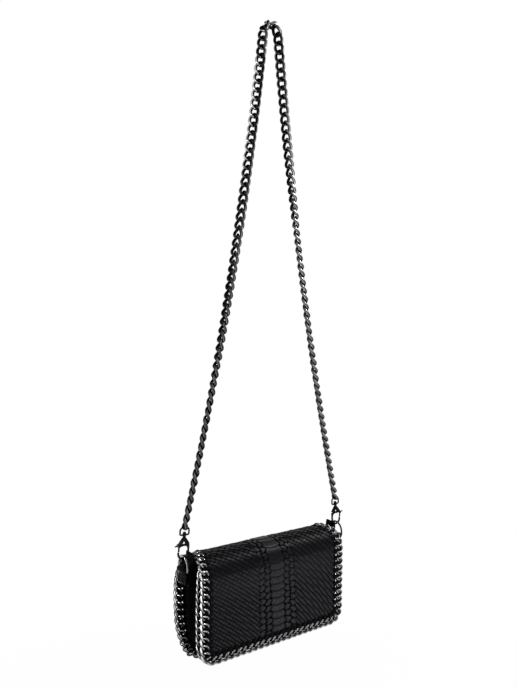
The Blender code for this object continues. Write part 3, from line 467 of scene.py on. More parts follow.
def bar(path, radii, sides=16, side=(0, 1, 0), flatten=1.0):
    return capped(tube(path, radii, sides, False, side, flatten), sides)


def lathe(profile, centre, axis, steps, closed=False):
    """A turned form: pairs of radius and height round an axis, as a ring or with capped ends."""
    axis = np.array(axis, float)
    side = np.array(Vector(axis).orthogonal().normalized())
    other = np.cross(axis, side)
    angle = 2 * pi * np.arange(steps) / steps
    ring = np.cos(angle)[:, None] * side + np.sin(angle)[:, None] * other
    points = np.vstack([np.asarray(centre, float) + r * ring + h * axis for r, h in profile])
    shape = points, grid_quads(len(profile), steps, closed, True)
    return shape if closed else capped(shape, steps)


def merged(parts):
    """Several shapes as one."""
    verts, quads, base = [], [], 0
    for points, faces in parts:
        verts.append(points)
        quads.append(faces + base)
        base += len(points)
    return np.vstack(verts), np.vstack(quads)


def smooth_path(points, steps):
    """A Catmull-Rom line through points."""
    points = np.asarray(points, float)
    points = np.vstack([2 * points[0] - points[1], points, 2 * points[-1] - points[-2]])
    line = []
    for p0, p1, p2, p3 in zip(points, points[1:], points[2:], points[3:]):
        for t in np.arange(steps) / steps:
            bent = 2 * p1 + (p2 - p0) * t + (2 * p0 - 5 * p1 + 4 * p2 - p3) * t**2
            line.append(0.5 * (bent + (3 * p1 - p0 - 3 * p2 + p3) * t**3))
    return np.array([*line, points[-2]])


def even(line, count=None, closed=False):
    """The same line with its points an even distance apart."""
    line = np.vstack([line, line[:1]]) if closed else np.asarray(line)
    line = line[np.concatenate([[True], np.diff(run_lengths(line)) > 1e-9])]
    runs = run_lengths(line)
    goals = np.linspace(0, runs[-1], count or len(line), endpoint=not closed)
    return np.stack([np.interp(goals, runs, values) for values in line.T], axis=1)


def rounded_corners(corners, radius, steps):
    """A closed line through corners, each rounded by an arc of a Bezier."""
    corners = [np.asarray(c, float) for c in corners]
    line = []
    for i, corner in enumerate(corners):
        before, after = corners[i - 1] - corner, corners[(i + 1) % len(corners)] - corner
        cut = min(radius, 0.48 * np.linalg.norm(before), 0.48 * np.linalg.norm(after))
        a, b = corner + unit(before) * cut, corner + unit(after) * cut
        for t in np.arange(steps + 1) / steps:
            line.append((1 - t) ** 2 * a + 2 * t * (1 - t) * corner + t**2 * b)
    return even(np.array(line), closed=True)


def oblong_corners(steps):
    """Round a strip's section: the signs of each corner, and the steps of its rounding."""
    signs = ((1, 1), (-1, 1), (-1, -1), (1, -1))
    for start, (su, sv) in enumerate(signs):
        for k in range(steps):
            a = pi / 2 * (start + k / (steps - 1))
            yield su, sv, cos(a), sin(a)


# Curb chain


def link_form(pitch, width, wire, rise):
    """One twisted oval link about its centre: along, across and off its flat.

    The wire is a little heavier along the link's sides, as it is once a curb is pressed.
    """
    t = 2 * pi * np.arange(LINK_STEPS) / LINK_STEPS
    cosine, sine = np.cos(t), np.sin(t)
    long = (pitch + wire) / 2 - FUSE_DEPTH / 2
    half = (width - wire * (LINK_ENDS + LINK_SWELL)) / 2
    path = np.stack([long * cosine, half * sine, HAND * rise * np.sin(2 * t)], axis=1)
    centre_out = np.stack([cosine, sine, 0 * t], axis=1)
    radii = wire / 2 * (LINK_ENDS + LINK_SWELL * sine**2)
    return tube(path, radii, LINK_SIDES, True, centre_out)[0]


def chain_points(form, joints, normals, tilt, seed):
    """Every link's points, each set between its joints and facing its own way."""
    rng = np.random.default_rng(seed)
    joints = np.array([tuple(j) for j in joints], float)
    normals = np.array([tuple(n) for n in normals], float)
    along = unit(np.diff(joints, axis=0))
    centres = (joints[1:] + joints[:-1]) / 2
    flat = square_to(normals, along)
    across = np.cross(flat, along)
    if tilt:
        turn = rng.normal(0, tilt, len(along))[:, None]
        flat, across = (
            np.cos(turn) * flat + np.sin(turn) * across,
            np.cos(turn) * across - np.sin(turn) * flat,
        )
    axes = np.stack([along, across, flat], axis=1)
    return (np.einsum("pk,lkc->lpc", form, axes) + centres[:, None]).reshape(-1, 3)


def wear_and_highlight_masks(spread, centre, rim):
    """How bright each point of a link is painted: both faces, most where the wire stands highest,
    partly wear from rubbing and partly a painted highlight, and a painted highlight along one rim.
    """
    t = 2 * pi * np.arange(LINK_STEPS) / LINK_STEPS
    phi = 2 * pi * np.arange(LINK_SIDES) / LINK_SIDES
    t, phi = np.meshgrid(t, phi, indexing="ij")
    face = np.sign(np.sin(phi) + 1e-9)
    turned = np.abs(np.angle(np.exp(1j * phi)))
    band = np.clip(1 - np.abs(turned - centre) / spread, 0, 1)
    high = 0.5 + 0.5 * HAND * face * np.sin(2 * t)
    wear_and_highlit = smooth_all(1.6 * band * (0.2 + 0.8 * high))
    edge = smooth_all(1.5 * np.clip(1 - np.abs(turned - RIM_HIGHLIGHT_CENTRE) / RIM_HIGHLIGHT_SPREAD, 0, 1))
    edge *= np.clip(-np.sin(t), 0, 1) ** 0.6
    return wear_and_highlit.ravel(), rim * edge.ravel()


def chain_piece(name, form, joints, normals, body, slot, node, paint, wear_and_highlight, tilt=0.0, seed=0):
    points = chain_points(form, joints, normals, tilt, seed)
    count = len(joints) - 1
    shift = (np.arange(count) * LINK_STEPS * LINK_SIDES)[:, None, None]
    quads = (grid_quads(LINK_STEPS, LINK_SIDES, True, True)[None] + shift).reshape(-1, 4)
    piece = mesh_piece(name, (points, quads), body, slot, (node,), paint)
    wear_and_highlit, edge = wear_and_highlight_masks(*wear_and_highlight)
    # each link's painted highlight, with its wear, a little stronger or weaker; the painted rim
    # highlight fades out along the piece after its first links
    highlight_strength = np.random.default_rng(seed + 300).uniform(0.75, 1.0, count)[:, None]
    down = np.arange(count) / max(count - 1, 1)
    faded = 1 - RIM_HIGHLIGHT_FADE * smooth_all((down - RIM_HIGHLIGHT_FADE_FROM) / RIM_HIGHLIGHT_FADE_OVER)
    values = highlight_strength * np.maximum(wear_and_highlit[None], edge[None] * faded[:, None])
    add_values(piece, "wear_and_highlight", values.ravel())


def strand_joints(side):
    count = STRAP_LINKS_PER_SIDE
    x, z = STRAP_PITCH / 2, STRAP_HALF_THICKNESS
    reach = STRAND_END_X - x - STRAP_PITCH * cos(BEND_LINK_TILT)
    mean_tilt = asin(reach / (STRAP_PITCH * (count - 1)))
    places = [(x, z)]
    x += STRAP_PITCH * cos(BEND_LINK_TILT)
    z -= STRAP_PITCH * sin(BEND_LINK_TILT)
    places.append((x, z))
    top_x = x
    for k in range(count - 1):
        share = (k + 0.5) / (count - 1)
        tilt = STRAND_TILT_TOP + 2 * (mean_tilt - STRAND_TILT_TOP) * share
        x += STRAP_PITCH * sin(tilt)
        z -= STRAP_PITCH * cos(tilt)
        places.append((x, z))
    fit = (STRAND_END_X - top_x) / (x - top_x)
    fitted = places[:2] + [(top_x + (px - top_x) * fit, pz) for px, pz in places[2:]]
    return [Vector((side * px, 0, pz)) for px, pz in fitted]


def strand_normal(side, start, end, index):
    """Where a link's flat faces: turned from the strap's top, then back again further down."""
    along = (end - start).normalized()
    outward = Vector((-along.z * side, 0, along.x * side))
    begin, finish = TWIST_SHARES[side]
    share = (index / STRAP_LINKS_PER_SIDE - begin) / (finish - begin)
    back = TWIST_TOTAL * min(max(share, 0.0), 1.0)
    angle = pi / 2 + side * (STRAND_TWIST * smooth(index / TWIST_LINKS) - back)
    return -cos(angle) * Y + sin(angle) * outward


STRAND_END = strand_joints(1)[-1]
DRING_TOP_Z = STRAND_END.z - STRAND_END_TO_DRING * cos(CLAW_LEAN)
DRING_BAR_Z = DRING_TOP_Z - DRING_HEIGHT
SHOULDER_Z = DRING_TOP_Z - EYE_DROP + CLAW_WIRE / 2 + EYE_HEIGHT
NECK_Z = SHOULDER_Z + CLAW_BODY_HEIGHT
SWIVEL_BASE_Z = NECK_Z + SEAT_GAP + BARREL_LENGTH / 2
PIVOT_Z = DRING_TOP_Z - EYE_DROP * cos(CLAW_LEAN)
RIDGE_Z = PIVOT_Z + RIDGE_ABOVE_PIVOT
MOUTH_Z = RIDGE_Z - MOUTH_SHARE * BAG_HEIGHT
BASE_Z = RIDGE_Z - BASE_SHARE * BAG_HEIGHT
GUSSET_PEAK = CLAW_X - (DRING_WIRE / 2 + SEAT_GAP + TAB_LAYER) - SEAT_GAP


def make_strap():
    split = BEND_LINKS_PER_SIDE
    form = link_form(STRAP_PITCH, STRAP_WIDTH, STRAP_WIRE_SEEN, STRAND_RISE_SEEN)
    place = ("strap", "strap_gunmetal")
    for side, word in SIDES:
        joints = strand_joints(side)
        ends = enumerate(zip(joints, joints[1:]), 1)
        normals = [strand_normal(side, start, end, i) for i, (start, end) in ends]
        chain_piece(f"{word}_strand_links", form, joints[split:], normals[split:], *place,
                    f"strap_{word}_strand", STRAP_METAL, STRAP_WEAR_AND_HIGHLIGHTS[side], STRAND_LINK_TILT,
                    7 + side)
        if side < 0:
            bend_joints, bend_normals = joints[split::-1], [*normals[split - 1 :: -1], Z]
        else:
            bend_joints += joints[: split + 1]
            bend_normals += normals[:split]
    form = link_form(STRAP_PITCH, STRAP_WIDTH, STRAP_WIRE_SEEN, STRAP_RISE)
    chain_piece("bend_links", form, bend_joints, bend_normals, *place, "strap_bend", STRAP_METAL,
                STRAP_WEAR_AND_HIGHLIGHTS[1])


# Swivel rings and claws


def lean(side):
    heel = Vector((side * CLAW_X, 0, DRING_TOP_Z))
    turn = Matrix.Rotation(-side * CLAW_LEAN, 4, "Y")
    return Matrix.Translation(heel) @ turn @ Matrix.Translation(-heel)


def raw_object(name, shape):
    mesh = bpy.data.meshes.new(name)
    mesh.from_pydata(np.asarray(shape[0], float).tolist(), [], np.asarray(shape[1]).tolist())
    return placed(name, mesh)


def bake_modifiers(thing):
    """Makes an object's modified shape its own and shades it smooth."""
    shape = thing.evaluated_get(bpy.context.evaluated_depsgraph_get())
    old, thing.data = thing.data, bpy.data.meshes.new_from_object(shape)
    thing.modifiers.clear()
    bpy.data.meshes.remove(old)
    thing.data.shade_smooth()


def melt(thing):
    """Melts overlapping parts into one skin and softens it, as a casting is."""
    bpy.context.view_layer.objects.active = thing
    remesh = thing.modifiers.new("melt", "REMESH")
    remesh.mode = "VOXEL"
    remesh.voxel_size = CASTING_VOXEL
    remesh.use_smooth_shade = True
    soften = thing.modifiers.new("soften", "SMOOTH")
    soften.factor = 0.5
    soften.iterations = CASTING_ROUNDS
    bake_modifiers(thing)


def cut_box(thing, low, high):
    """Takes a box out of an object."""
    corners = [(x, y, z) for z in (low[2], high[2]) for y in (low[1], high[1])
               for x in (low[0], high[0])]
    quads = ((0, 2, 3, 1), (4, 5, 7, 6), (0, 1, 5, 4), (2, 6, 7, 3), (0, 4, 6, 2), (1, 3, 7, 5))
    cutter = raw_object("cutter", (corners, quads))
    minus = thing.modifiers.new("slot", "BOOLEAN")
    minus.operation = "DIFFERENCE"
    minus.solver = "EXACT"
    minus.object = cutter
    bake_modifiers(thing)
    bpy.data.objects.remove(cutter)


def swivel(side, word):
    """The house-shaped bow, its barrel and the barrel's rims."""
    centre = np.array((side * CLAW_X, 0, SWIVEL_BASE_Z))
    half, high = SWIVEL_HALF_WIDTH, SWIVEL_HEIGHT
    left = [(-half, 0), (-half, high * SWIVEL_SHOULDER_SHARE), (-half * SWIVEL_TOP_SHARE, high)]
    corners = [*left, *((-x, z) for x, z in reversed(left))]
    line = rounded_corners([centre + np.array((x, 0, z)) for x, z in corners], 0.0014, 6)
    bow = tube(even(line, 72, closed=True), SWIVEL_WIRE / 2, 12, side=(0, 1, 0))
    bore, rim, end = POST_RADIUS + POST_CLEARANCE, BARREL_RADIUS, -BARREL_LENGTH / 2
    lower = (
        (bore, end + 0.0002),
        (bore + 0.0003, end),
        (rim - 0.0003, end),
        (rim, end + 0.0003),
        (rim, end + 0.0008),
        (rim - 0.0002, end + 0.0010),
    )
    profile = (*lower, *((r, -h) for r, h in reversed(lower)))
    shape = merged([bow, lathe(profile, centre, (0, 0, 1), 28, closed=True)])
    piece = mesh_piece(f"{word}_swivel_bow", shape, "strap", "strap_gunmetal",
                       (f"{word}_swivel_ring",), STRAP_METAL)
    piece.data.transform(lean(side))


def claw(side, word):
    """The cast hook with its window and rivet cheeks, its post, and the sprung gate."""

    def step(x, z, y=0.0):
        return np.array((side * x, y, z))

    def place(x, z, y=0.0):
        return step(CLAW_X + x, z, y)

    wire = CLAW_WIRE / 2
    radius = EYE_HALF_WIDTH + wire
    eye_z = SHOULDER_Z - EYE_HEIGHT + EYE_HALF_WIDTH
    tip_z = SHOULDER_Z - EYE_HEIGHT * GATE_TIP_SHARE
    shoulder = SHOULDER_Z + wire * 0.9
    pin = place(radius, SHOULDER_Z + GATE_WIDTH / 2)
    parts = []
    # the two legs beside the window
    neck_z, foot_z = NECK_Z - 0.0012, SHOULDER_Z + 0.0020
    for way in (-1, 1):
        bowed = place(way * 0.00265, (neck_z + foot_z) / 2)
        path = smooth_path([place(0, neck_z), bowed, place(way * 0.0049, foot_z)], 8)
        parts.append(bar(path, np.linspace(0.00195, 0.00240, len(path)), 18, flatten=0.90))
    # the crossbar over the eye, the rounded neck and the hook's arc
    across = ((0.0001 - radius, -0.0030), (0.0012 - radius, -0.0008), (-0.0026, 0.0004),
              (0.0008, 0.0005), (radius - 0.0030, -0.0002))
    parts.append(bar(smooth_path([place(x, shoulder + z) for x, z in across], 6), wire * 1.05))
    profile = ((0.0004, 0.0), (0.0013, -0.0001), (0.0017, -0.0005), (0.0018, -0.0012),
               (0.0019, -0.0024), (0.0016, -0.0032), (0.0004, -0.0036))
    parts.append(lathe(profile, place(0, NECK_Z), (0, 0, 1), 20))
    turn = [place(-radius * cos(a), eye_z - radius * sin(a)) for a in np.linspace(0, pi, 26)]
    path = even([place(-radius, shoulder + 0.0006), *turn, place(radius, tip_z)], 60)
    parts.append(bar(path, wire * np.where(np.linspace(0, 1, 60) > 0.97, 0.88, 0.93), 18))
    # a cheek on each side of the gate's slot, with its strut
    cheek = (CLAW_BODY_THICKNESS - GATE_SLOT) / 2
    profile = ((0.0003, -cheek / 2), (0.0017, -cheek / 2), (0.0019, 0.0), (0.0017, cheek / 2),
               (0.0003, cheek / 2))
    for way in (-1, 1):
        middle = pin + step(0, 0, way * (GATE_SLOT / 2 + cheek / 2))
        parts.append(lathe(profile, middle, (0, way, 0), 20))
        ends = ((0, 0), (-0.0016, 0.0002), (-0.0034, 0.0008, -way * 0.0008))
        strut = smooth_path([middle + step(*end) for end in ends], 5)
        parts.append(bar(strut, 0.00042 + 0.0004 * np.linspace(0, 1, len(strut)), 10, None))
    hook = raw_object(f"{word}_hook_casting", merged(parts))
    melt(hook)
    near, far = sorted((side * -0.0032, side * 0.0040))
    cut_box(hook, pin + np.array((near, -GATE_SLOT / 2, -0.0042)),
            pin + np.array((far, GATE_SLOT / 2, 0.0016)))
    dressed(hook, f"{word}_claw", (f"{word}_claw_hook",), (STRAP_METAL,))
    top = BARREL_LENGTH + 2 * SEAT_GAP
    profile = ((0.0003, 0.0), (POST_RADIUS, 0.0), (POST_RADIUS, top + 0.001),
               (POST_HEAD_RADIUS, top + 0.001), (POST_HEAD_RADIUS, top + 0.0016),
               (POST_HEAD_RADIUS - 0.0004, top + 0.0020), (0.0003, top + 0.0020))
    shape = lathe(profile, place(0, NECK_Z - 0.001), (0, 0, 1), 20)
    post = mesh_piece(f"{word}_swivel_post", shape, f"{word}_claw", "strap_gunmetal", (),
                      STRAP_METAL)
    gate = mesh_piece(f"{word}_gate_lever", gate_form(pin, step, tip_z), f"{word}_gate",
                      "strap_gunmetal", (f"{word}_claw_gate",), STRAP_METAL)
    for piece in (hook, post, gate):
        piece.data.transform(lean(side))


def gate_form(pin, step, tip_z):
    """A flat bar with a rounded eye at its pin and a ball-ended thumb lever."""
    front = -GATE_SLOT / 2 + SEAT_GAP + GATE_THICKNESS / 2
    centre = pin + step(0, 0, front)
    half = GATE_WIDTH / 2
    bottom = centre.copy()
    bottom[2] = tip_z + SEAT_GAP + half * 0.55
    blade = bar(even([centre, bottom], 10), half * 0.98, flatten=GATE_SEEN / GATE_WIDTH)
    lever_end = centre + step(half + GATE_LEVER_LENGTH - 0.0010, 0.0001)
    path = smooth_path([centre, centre + step(0.0024, 0), lever_end], 8)
    share = np.linspace(0, 1, len(path))
    radii = np.interp(share, (0, 0.45, 0.75, 1), (0.0009, 0.00055, 0.0006, 0.0008))
    profile = ((0.0002, -0.0010), (0.0006, -0.0008), (0.0009, -0.0002), (0.0009, 0.0003),
               (0.0006, 0.0008), (0.0002, 0.0010))
    ball, faces = lathe(profile, lever_end, step(1, 0), 16)
    ball[:, 1] = front + (ball[:, 1] - front) * 0.62
    thick = GATE_THICKNESS / 2
    profile = ((PIN_BORE, -thick), (half, -thick), (half, thick), (PIN_BORE, thick))
    hub = lathe(profile, centre, (0, 1, 0), 20, closed=True)
    return merged([blade, bar(path, radii, 14, flatten=0.72), (ball, faces), hub])


def d_ring(side, word):
    bar_centre = np.array((side * CLAW_X, 0, DRING_BAR_Z))
    bow_centre = bar_centre + np.array((0, 0, DRING_HEIGHT - DRING_HALF_WIDTH))
    bow = [bow_centre + DRING_HALF_WIDTH * np.array((0, cos(a), sin(a)))
           for a in np.linspace(0, pi, 40)]
    half = np.array((0, DRING_HALF_WIDTH, 0))
    line = rounded_corners([bar_centre + half, *bow, bar_centre - half], 0.0018, 5)
    line = even(line, 110, closed=True)
    ring = mesh_piece(f"{word}_ring", tube(line, DRING_WIRE / 2, 16, side=(1, 0, 0)),
                      f"{word}_ring", "strap_gunmetal", (f"{word}_d_ring",), TRIM_METAL)
    # a painted highlight along the ring's outboard side
    around = 2 * pi * np.arange(16) / 16
    highlight_strength = smooth_all(1.5 * (side * np.cos(around + 0.5 * side)) - 0.35)
    add_values(ring, "wear_and_highlight", 0.9 * np.tile(highlight_strength, len(line)))


# Leather sheets


class Section:
    """A smooth line through a section's points in the YZ plane, measured down from its top."""

    def __init__(self, shares, outward, drawn_in=0.0):
        corners = [(BAG_SHIFT_Y - y * BAG_DEPTH_FRONT, RIDGE_Z - z * BAG_HEIGHT) for y, z in shares]
        line = smooth_path(corners, 24)
        self.y, self.z = line.T
        self.runs = run_lengths(line)
        self.length = self.runs[-1]
        self.outward, self.drawn_in = outward, drawn_in

    def narrower(self, down):
        """How far each side edge draws in near the section's top."""
        return self.drawn_in * (1 - smooth_all(np.asarray(down) / FLAP_DRAWN_OVER))

    def at(self, down):
        return np.interp(down, self.runs, self.y), np.interp(down, self.runs, self.z)

    def facing(self, down, step=0.001):
        low, high = np.clip(down - step, 0, None), np.clip(down + step, None, self.length)
        (y0, z0), (y1, z1) = self.at(low), self.at(high)
        size = np.hypot(y1 - y0, z1 - z0)
        return (z1 - z0) / size * self.outward, -(y1 - y0) / size * self.outward

    def y_at(self, z):
        return float(np.interp(-z, -self.z, self.y))


BACK, FRONT = Section(BACK_SHARES, -1), Section(FRONT_SHARES, 1)
FLAP = Section(FLAP_SHARES, 1, FLAP_DRAWN_IN)
TRIM_LINE_X = BAG_WIDTH / 2 - TRIM_WIDTH / 2
LEATHER_INSET = TRIM_WIDTH / 2 + LEATHER_GAP
LEATHER_HALF_WIDTH = TRIM_LINE_X - LEATHER_INSET
LEATHER_CORNER = TRIM_CORNER_RADIUS - LEATHER_INSET
GUSSET_HALF_SPAN = LEATHER_HALF_WIDTH - GUSSET_INSET
POCKET_HALF_SPAN = GUSSET_HALF_SPAN - GUSSET_FOLD - GUSSET_LEATHER - SEAT_GAP


def dome(near, power):
    return 1 - np.clip(near, 0, 1) ** power


def zigzag(values):
    """How far each value is from a whole number: 0 at one, 1 halfway between two."""
    return np.abs(values - np.round(values)) * 2


def python_scales(x, v):
    """Height and groove of the embossed scales, from millimetres across and down.

    A column of broad belly plates runs down the middle, with rounded scales beside it and
    small slanting diamonds over the rest.
    """
    share = v / 110
    wobble = 0.5 * np.sin(v / 8.3 + x / 17) + 0.35 * np.sin(x / 6.1 + 1.7) * np.sin(v / 13)
    dx = x + 3 - 5 * share + 0.4 * np.sin(v / 5.0)
    half = 11.5 - 2.0 * np.clip(share, 0, 1.2)
    near_ridge = np.exp(-((v / 26) ** 2))
    # diamonds
    q = (x + wobble) / 7.0 * (0.78 + 0.42 * np.clip(share, 0, 1.3))
    r = (v + 0.6 * wobble) / 5.6 - 0.9 * (1 - near_ridge)
    a, b = q + r + 0.31, r - q + 0.17
    lattice = 0.80 + 0.20 * np.sin(5.1 * np.floor(a) + 3.3 * np.floor(b))
    diamond = dome(1 - zigzag(b), 3.0) * (1 - 0.66 * (1 - zigzag(a)) ** 6) * lattice
    # rounded scales in two columns on each side of the plates
    wide = 6.0 + 2.4 * np.clip(share, 0, 1.2)
    beside = np.abs(dx) - half + 1.1 * np.cos(2 * pi * v / 8.3)
    column = np.clip(np.floor(beside / wide), 0, 1)
    cv = v / 7.6 + 0.5 * column + 0.25 * np.sign(dx) - 0.16 * beside / wide + 0.05 * wobble
    mx = np.abs((beside - wide * column) / wide * 2 - 1)
    round_scale = dome((mx**2.8 + zigzag(cv) ** 2.8) ** (1 / 2.8), 3.2)
    # belly plates with rounded sides and curved lower edges
    plate = dome(1 - zigzag(v / 8.3 + 0.30 * (dx / half) ** 2), 6)
    plate = plate * smooth_all(np.clip(-beside / half, 0, 1) / 0.16)
    middle, flank = beside < 0, (beside >= 0) & (beside < 2 * wide)
    height = np.where(middle, 0.55 * plate, np.where(flank, 0.50 * round_scale, 0.40 * diamond))
    # the groove mask, from which the leather paints shade into the grooves
    groove = 1 - np.where(middle, plate**0.7, np.where(flank, round_scale**0.85, diamond))
    relief = 0.50 + 1.30 * near_ridge + 0.16 * smooth_all((v - 62) / 30)
    return height * relief, np.clip(groove * np.minimum(relief, 1), 0, 1)


def end_fans(points, quads, ring):
    """Closes the first and last ring of a sheet with one fan of four-sided faces each."""
    centres = []
    for first in (0, len(points) - ring):
        loop = first + np.arange(ring)
        centre = len(points) + len(centres)
        centres.append(points[loop].mean(axis=0))
        k = np.arange(0, ring - ring % 2, 2)
        corners = [loop[k], loop[(k + 1) % ring], loop[(k + 2) % ring], np.full(len(k), centre)]
        fan = np.stack(corners, axis=1)
        if ring % 2:
            fan = np.vstack([fan, [[loop[ring - 1], loop[0], loop[0], centre]]])
        quads = np.vstack([quads, fan if first else fan[:, ::-1]])
    return np.vstack([points, centres]), quads


def leather_sheet(name, section, thickness, body, node, step, phase=0.0):
    """A panel as one closed skin: scales outside, a plain flesh side and rounded edges."""
    end = section.length - LEATHER_INSET + SKIN_MARGIN
    widest, corner = LEATHER_HALF_WIDTH + SKIN_MARGIN, LEATHER_CORNER + SKIN_MARGIN
    rows, columns = int(end / step), int(2 * widest / step)
    back_columns = columns // 3
    down = np.linspace(0, end, rows)
    into = np.clip(down - (end - corner), 0, corner)
    half = widest - (corner - np.sqrt(np.clip(corner**2 - into**2, 0, None)))
    flat = thickness / 2
    half = (half - section.narrower(down) - flat)[:, None]
    # each end of the sheet rounds off over its own half thickness
    ends = [np.clip(1 - from_end / flat, 0, 1) for from_end in (down, end - down)]
    taper = np.sqrt(np.clip(1 - ends[0] ** 2, 0, 1)) * np.sqrt(np.clip(1 - ends[1] ** 2, 0, 1))
    taper = np.clip(taper, SKIN_END_THINNEST, 1)[:, None]
    across = np.linspace(-1, 1, columns) * half
    v = np.repeat(down[:, None], columns, axis=1)
    height, groove = python_scales(across * 1000, v * 1000 + phase)
    fade = smooth_all(np.minimum(half - np.abs(across), np.minimum(v, end - v)) / EDGE_PLAIN)
    turn = np.linspace(pi / 2, -pi / 2, SKIN_EDGE_POINTS + 2)[1:-1]
    edge_x, edge_off = half + flat * np.cos(turn) * taper, taper * flat * np.sin(turn)
    xs = np.hstack([across, edge_x, np.linspace(1, -1, back_columns) * half, -edge_x])
    back_off = -taper * flat * np.ones(back_columns)
    off = np.hstack([taper * flat + height * fade / 1000, edge_off, back_off, -edge_off])
    y, z = section.at(down)
    ny, nz = section.facing(down)
    ys, zs = y[:, None] + ny[:, None] * off, z[:, None] + nz[:, None] * off
    ring = xs.shape[1]
    quads = grid_quads(rows, ring, False, True)
    if section.outward < 0:
        quads = quads[:, ::-1]
    points, quads = end_fans(np.stack([xs, ys, zs], axis=-1).reshape(-1, 3), quads, ring)
    shape = points, quads
    piece = mesh_piece(name, shape, body, "python_leather", (node,), PYTHON, FLESH_SIDE)
    values = np.zeros(len(points))
    full = np.zeros((rows, ring))
    # the groove mask, which the leather's material turns into painted shade
    full[:, :columns] = groove * fade
    values[: rows * ring] = full.ravel()
    add_values(piece, "groove", values)
    inner = np.zeros(len(quads), dtype=np.int32)
    column_of = quads[:, 0] % ring
    # the flesh side starts past the middle of each rounded edge
    first = columns + SKIN_EDGE_POINTS // 2 + 1
    inner[(column_of >= first) & (column_of <= first + back_columns)] = 1
    inner[(rows - 1) * ring :] = 0
    piece.data.polygons.foreach_set("material_index", inner)
    piece.data.update()


def crease_fold():
    """A fold of leather that closes the crease between the back panel and the flap."""
    ends = [[float(values[0]) for values in section.at(np.zeros(1))] for section in (BACK, FLAP)]
    y, z = np.mean(ends, axis=0)
    half = LEATHER_HALF_WIDTH - CREASE_END_INSET
    shape = tube([(x, y, z) for x in np.linspace(-1, 1, 60) * half], CREASE_RADIUS, 14, False)
    mesh_piece("crease_fold", shape, "flap", "python_leather", (), GUSSET_SKIN)


# Edge chain and lace


def trim_places(section, inset):
    """Joints of an edge chain with their normals, a whole number of even pitches."""
    side, radius = section.length - TRIM_CORNER_RADIUS, TRIM_CORNER_RADIUS
    steps = round(6 * (side - inset) / TRIM_PITCH)
    flat = [(-TRIM_LINE_X, inset + (side - inset) * i / steps) for i in range(steps)]
    for a in np.linspace(0, pi / 2, 17):
        flat.append((radius - TRIM_LINE_X - radius * cos(a), side + radius * sin(a)))
    flat = np.array([*flat, *((-x, down) for x, down in reversed(flat))])
    flat[:, 0] -= np.sign(flat[:, 0]) * section.narrower(flat[:, 1])
    flat = flat[np.concatenate([[True], np.diff(run_lengths(flat)) > 1e-9])]
    runs = run_lengths(flat)
    goals = np.linspace(0, runs[-1], round(runs[-1] / TRIM_PITCH) + 1)
    x, down = np.interp(goals, runs, flat[:, 0]), np.interp(goals, runs, flat[:, 1])
    ny, nz = section.facing((down[1:] + down[:-1]) / 2, TRIM_PITCH / 2)
    return np.stack([x, *section.at(down)], axis=1), np.stack([0 * ny, ny, nz], axis=1)


def lace_form():
    """One stitch: a flat ribbon round the inner wire and the leather's edge.

    Its axes are along the edge, inward and outward from the sheet.
    """
    low, high = LACE_IN + LACE_HALF, LACE_OUT - LACE_HALF
    runs, turns = np.arange(5) / 5, pi * np.arange(7) / 7
    path = [(low + (high - low) * t, LACE_HALF) for t in runs]
    path += [(high + LACE_HALF * 0.8 * sin(a), LACE_HALF * cos(a)) for a in turns]
    path += [(high - (high - low) * t, -LACE_HALF) for t in runs]
    path += [(low - LACE_HALF * sin(a), -LACE_HALF * cos(a)) for a in turns]
    path = np.array(path)
    along = unit(np.roll(path, -1, axis=0) - np.roll(path, 1, axis=0))
    out = np.stack([-along[:, 1], along[:, 0]], axis=1)
    share = (path[:, 0] - LACE_IN) / (LACE_OUT - LACE_IN)
    sway = LACE_SLANT * (share - 0.5) * np.sign(path[:, 1] + 1e-9)
    wider = smooth_all((path[:, 0] - LACE_WAIST_TO) / LACE_WAIST_OVER)
    width = LACE_WAIST + (LACE_WIDTH / 2 + 0.0002 - LACE_WAIST) * wider
    width = np.where(share > LACE_TURN_FROM, width * LACE_TURN_SHARE, width)
    flat, section = LACE_THICKNESS / 2 - LACE_CORNER, list(oblong_corners(3))
    points = []
    for p, o, s, w in zip(path, out, sway, width):
        for su, sv, cu, cv in section:
            u = su * (w - LACE_CORNER) + LACE_CORNER * cu
            lift = sv * flat + LACE_CORNER * cv + LACE_SWELL * (1 - (u / w) ** 2)
            points.append((u + s, *(p + o * lift)))
    return np.array(points), grid_quads(len(path), len(section), True, True)


def lace_piece(name, section, joints, normals, body, seed):
    """A stitch for every link of an edge chain."""
    rng = np.random.default_rng(seed)
    points, quads = lace_form()
    along = unit(np.diff(joints, axis=0))
    flat = square_to(normals, along)
    inward = np.cross(flat, along)
    middle = np.array([0, *section.at(section.length * 0.45)])
    centres = (joints[1:] + joints[:-1]) / 2
    if np.sum(inward * (middle - centres)) < 0:
        inward = -inward
    parts = []
    for i, centre in enumerate(centres):
        nudge = rng.normal(0, LACE_SHIFTS)
        turn = rng.normal(0, LACE_TURNS)
        a = along[i] * cos(turn) + inward[i] * sin(turn)
        w = inward[i] * cos(turn) - along[i] * sin(turn)
        parts.append((points @ np.stack([a, w, flat[i]]) + centre + along[i] * nudge, quads))
    points, quads = merged(parts)
    if np.linalg.det(np.stack([along[0], inward[0], flat[0]])) < 0:
        quads = quads[:, ::-1]
    mesh_piece(name, (points, quads), body, "gusset_leather", (), LACE)


def laced_edge(word, section, inset, body, seed, wear_and_highlight=INNER_WEAR_AND_HIGHLIGHT):
    joints, normals = trim_places(section, inset)
    form = link_form(TRIM_PITCH, TRIM_WIDTH, TRIM_WIRE_SEEN, TRIM_RISE)
    chain_piece(f"{word}_edge_links", form, joints, normals, body, "trim_gunmetal",
                f"{word}_edge_chain", TRIM_METAL, wear_and_highlight, EDGE_LINK_TILT, seed)
    lace_piece(f"{word}_edge_lace", section, joints, normals, body, seed + 50)


# Gussets, tabs, base and lining


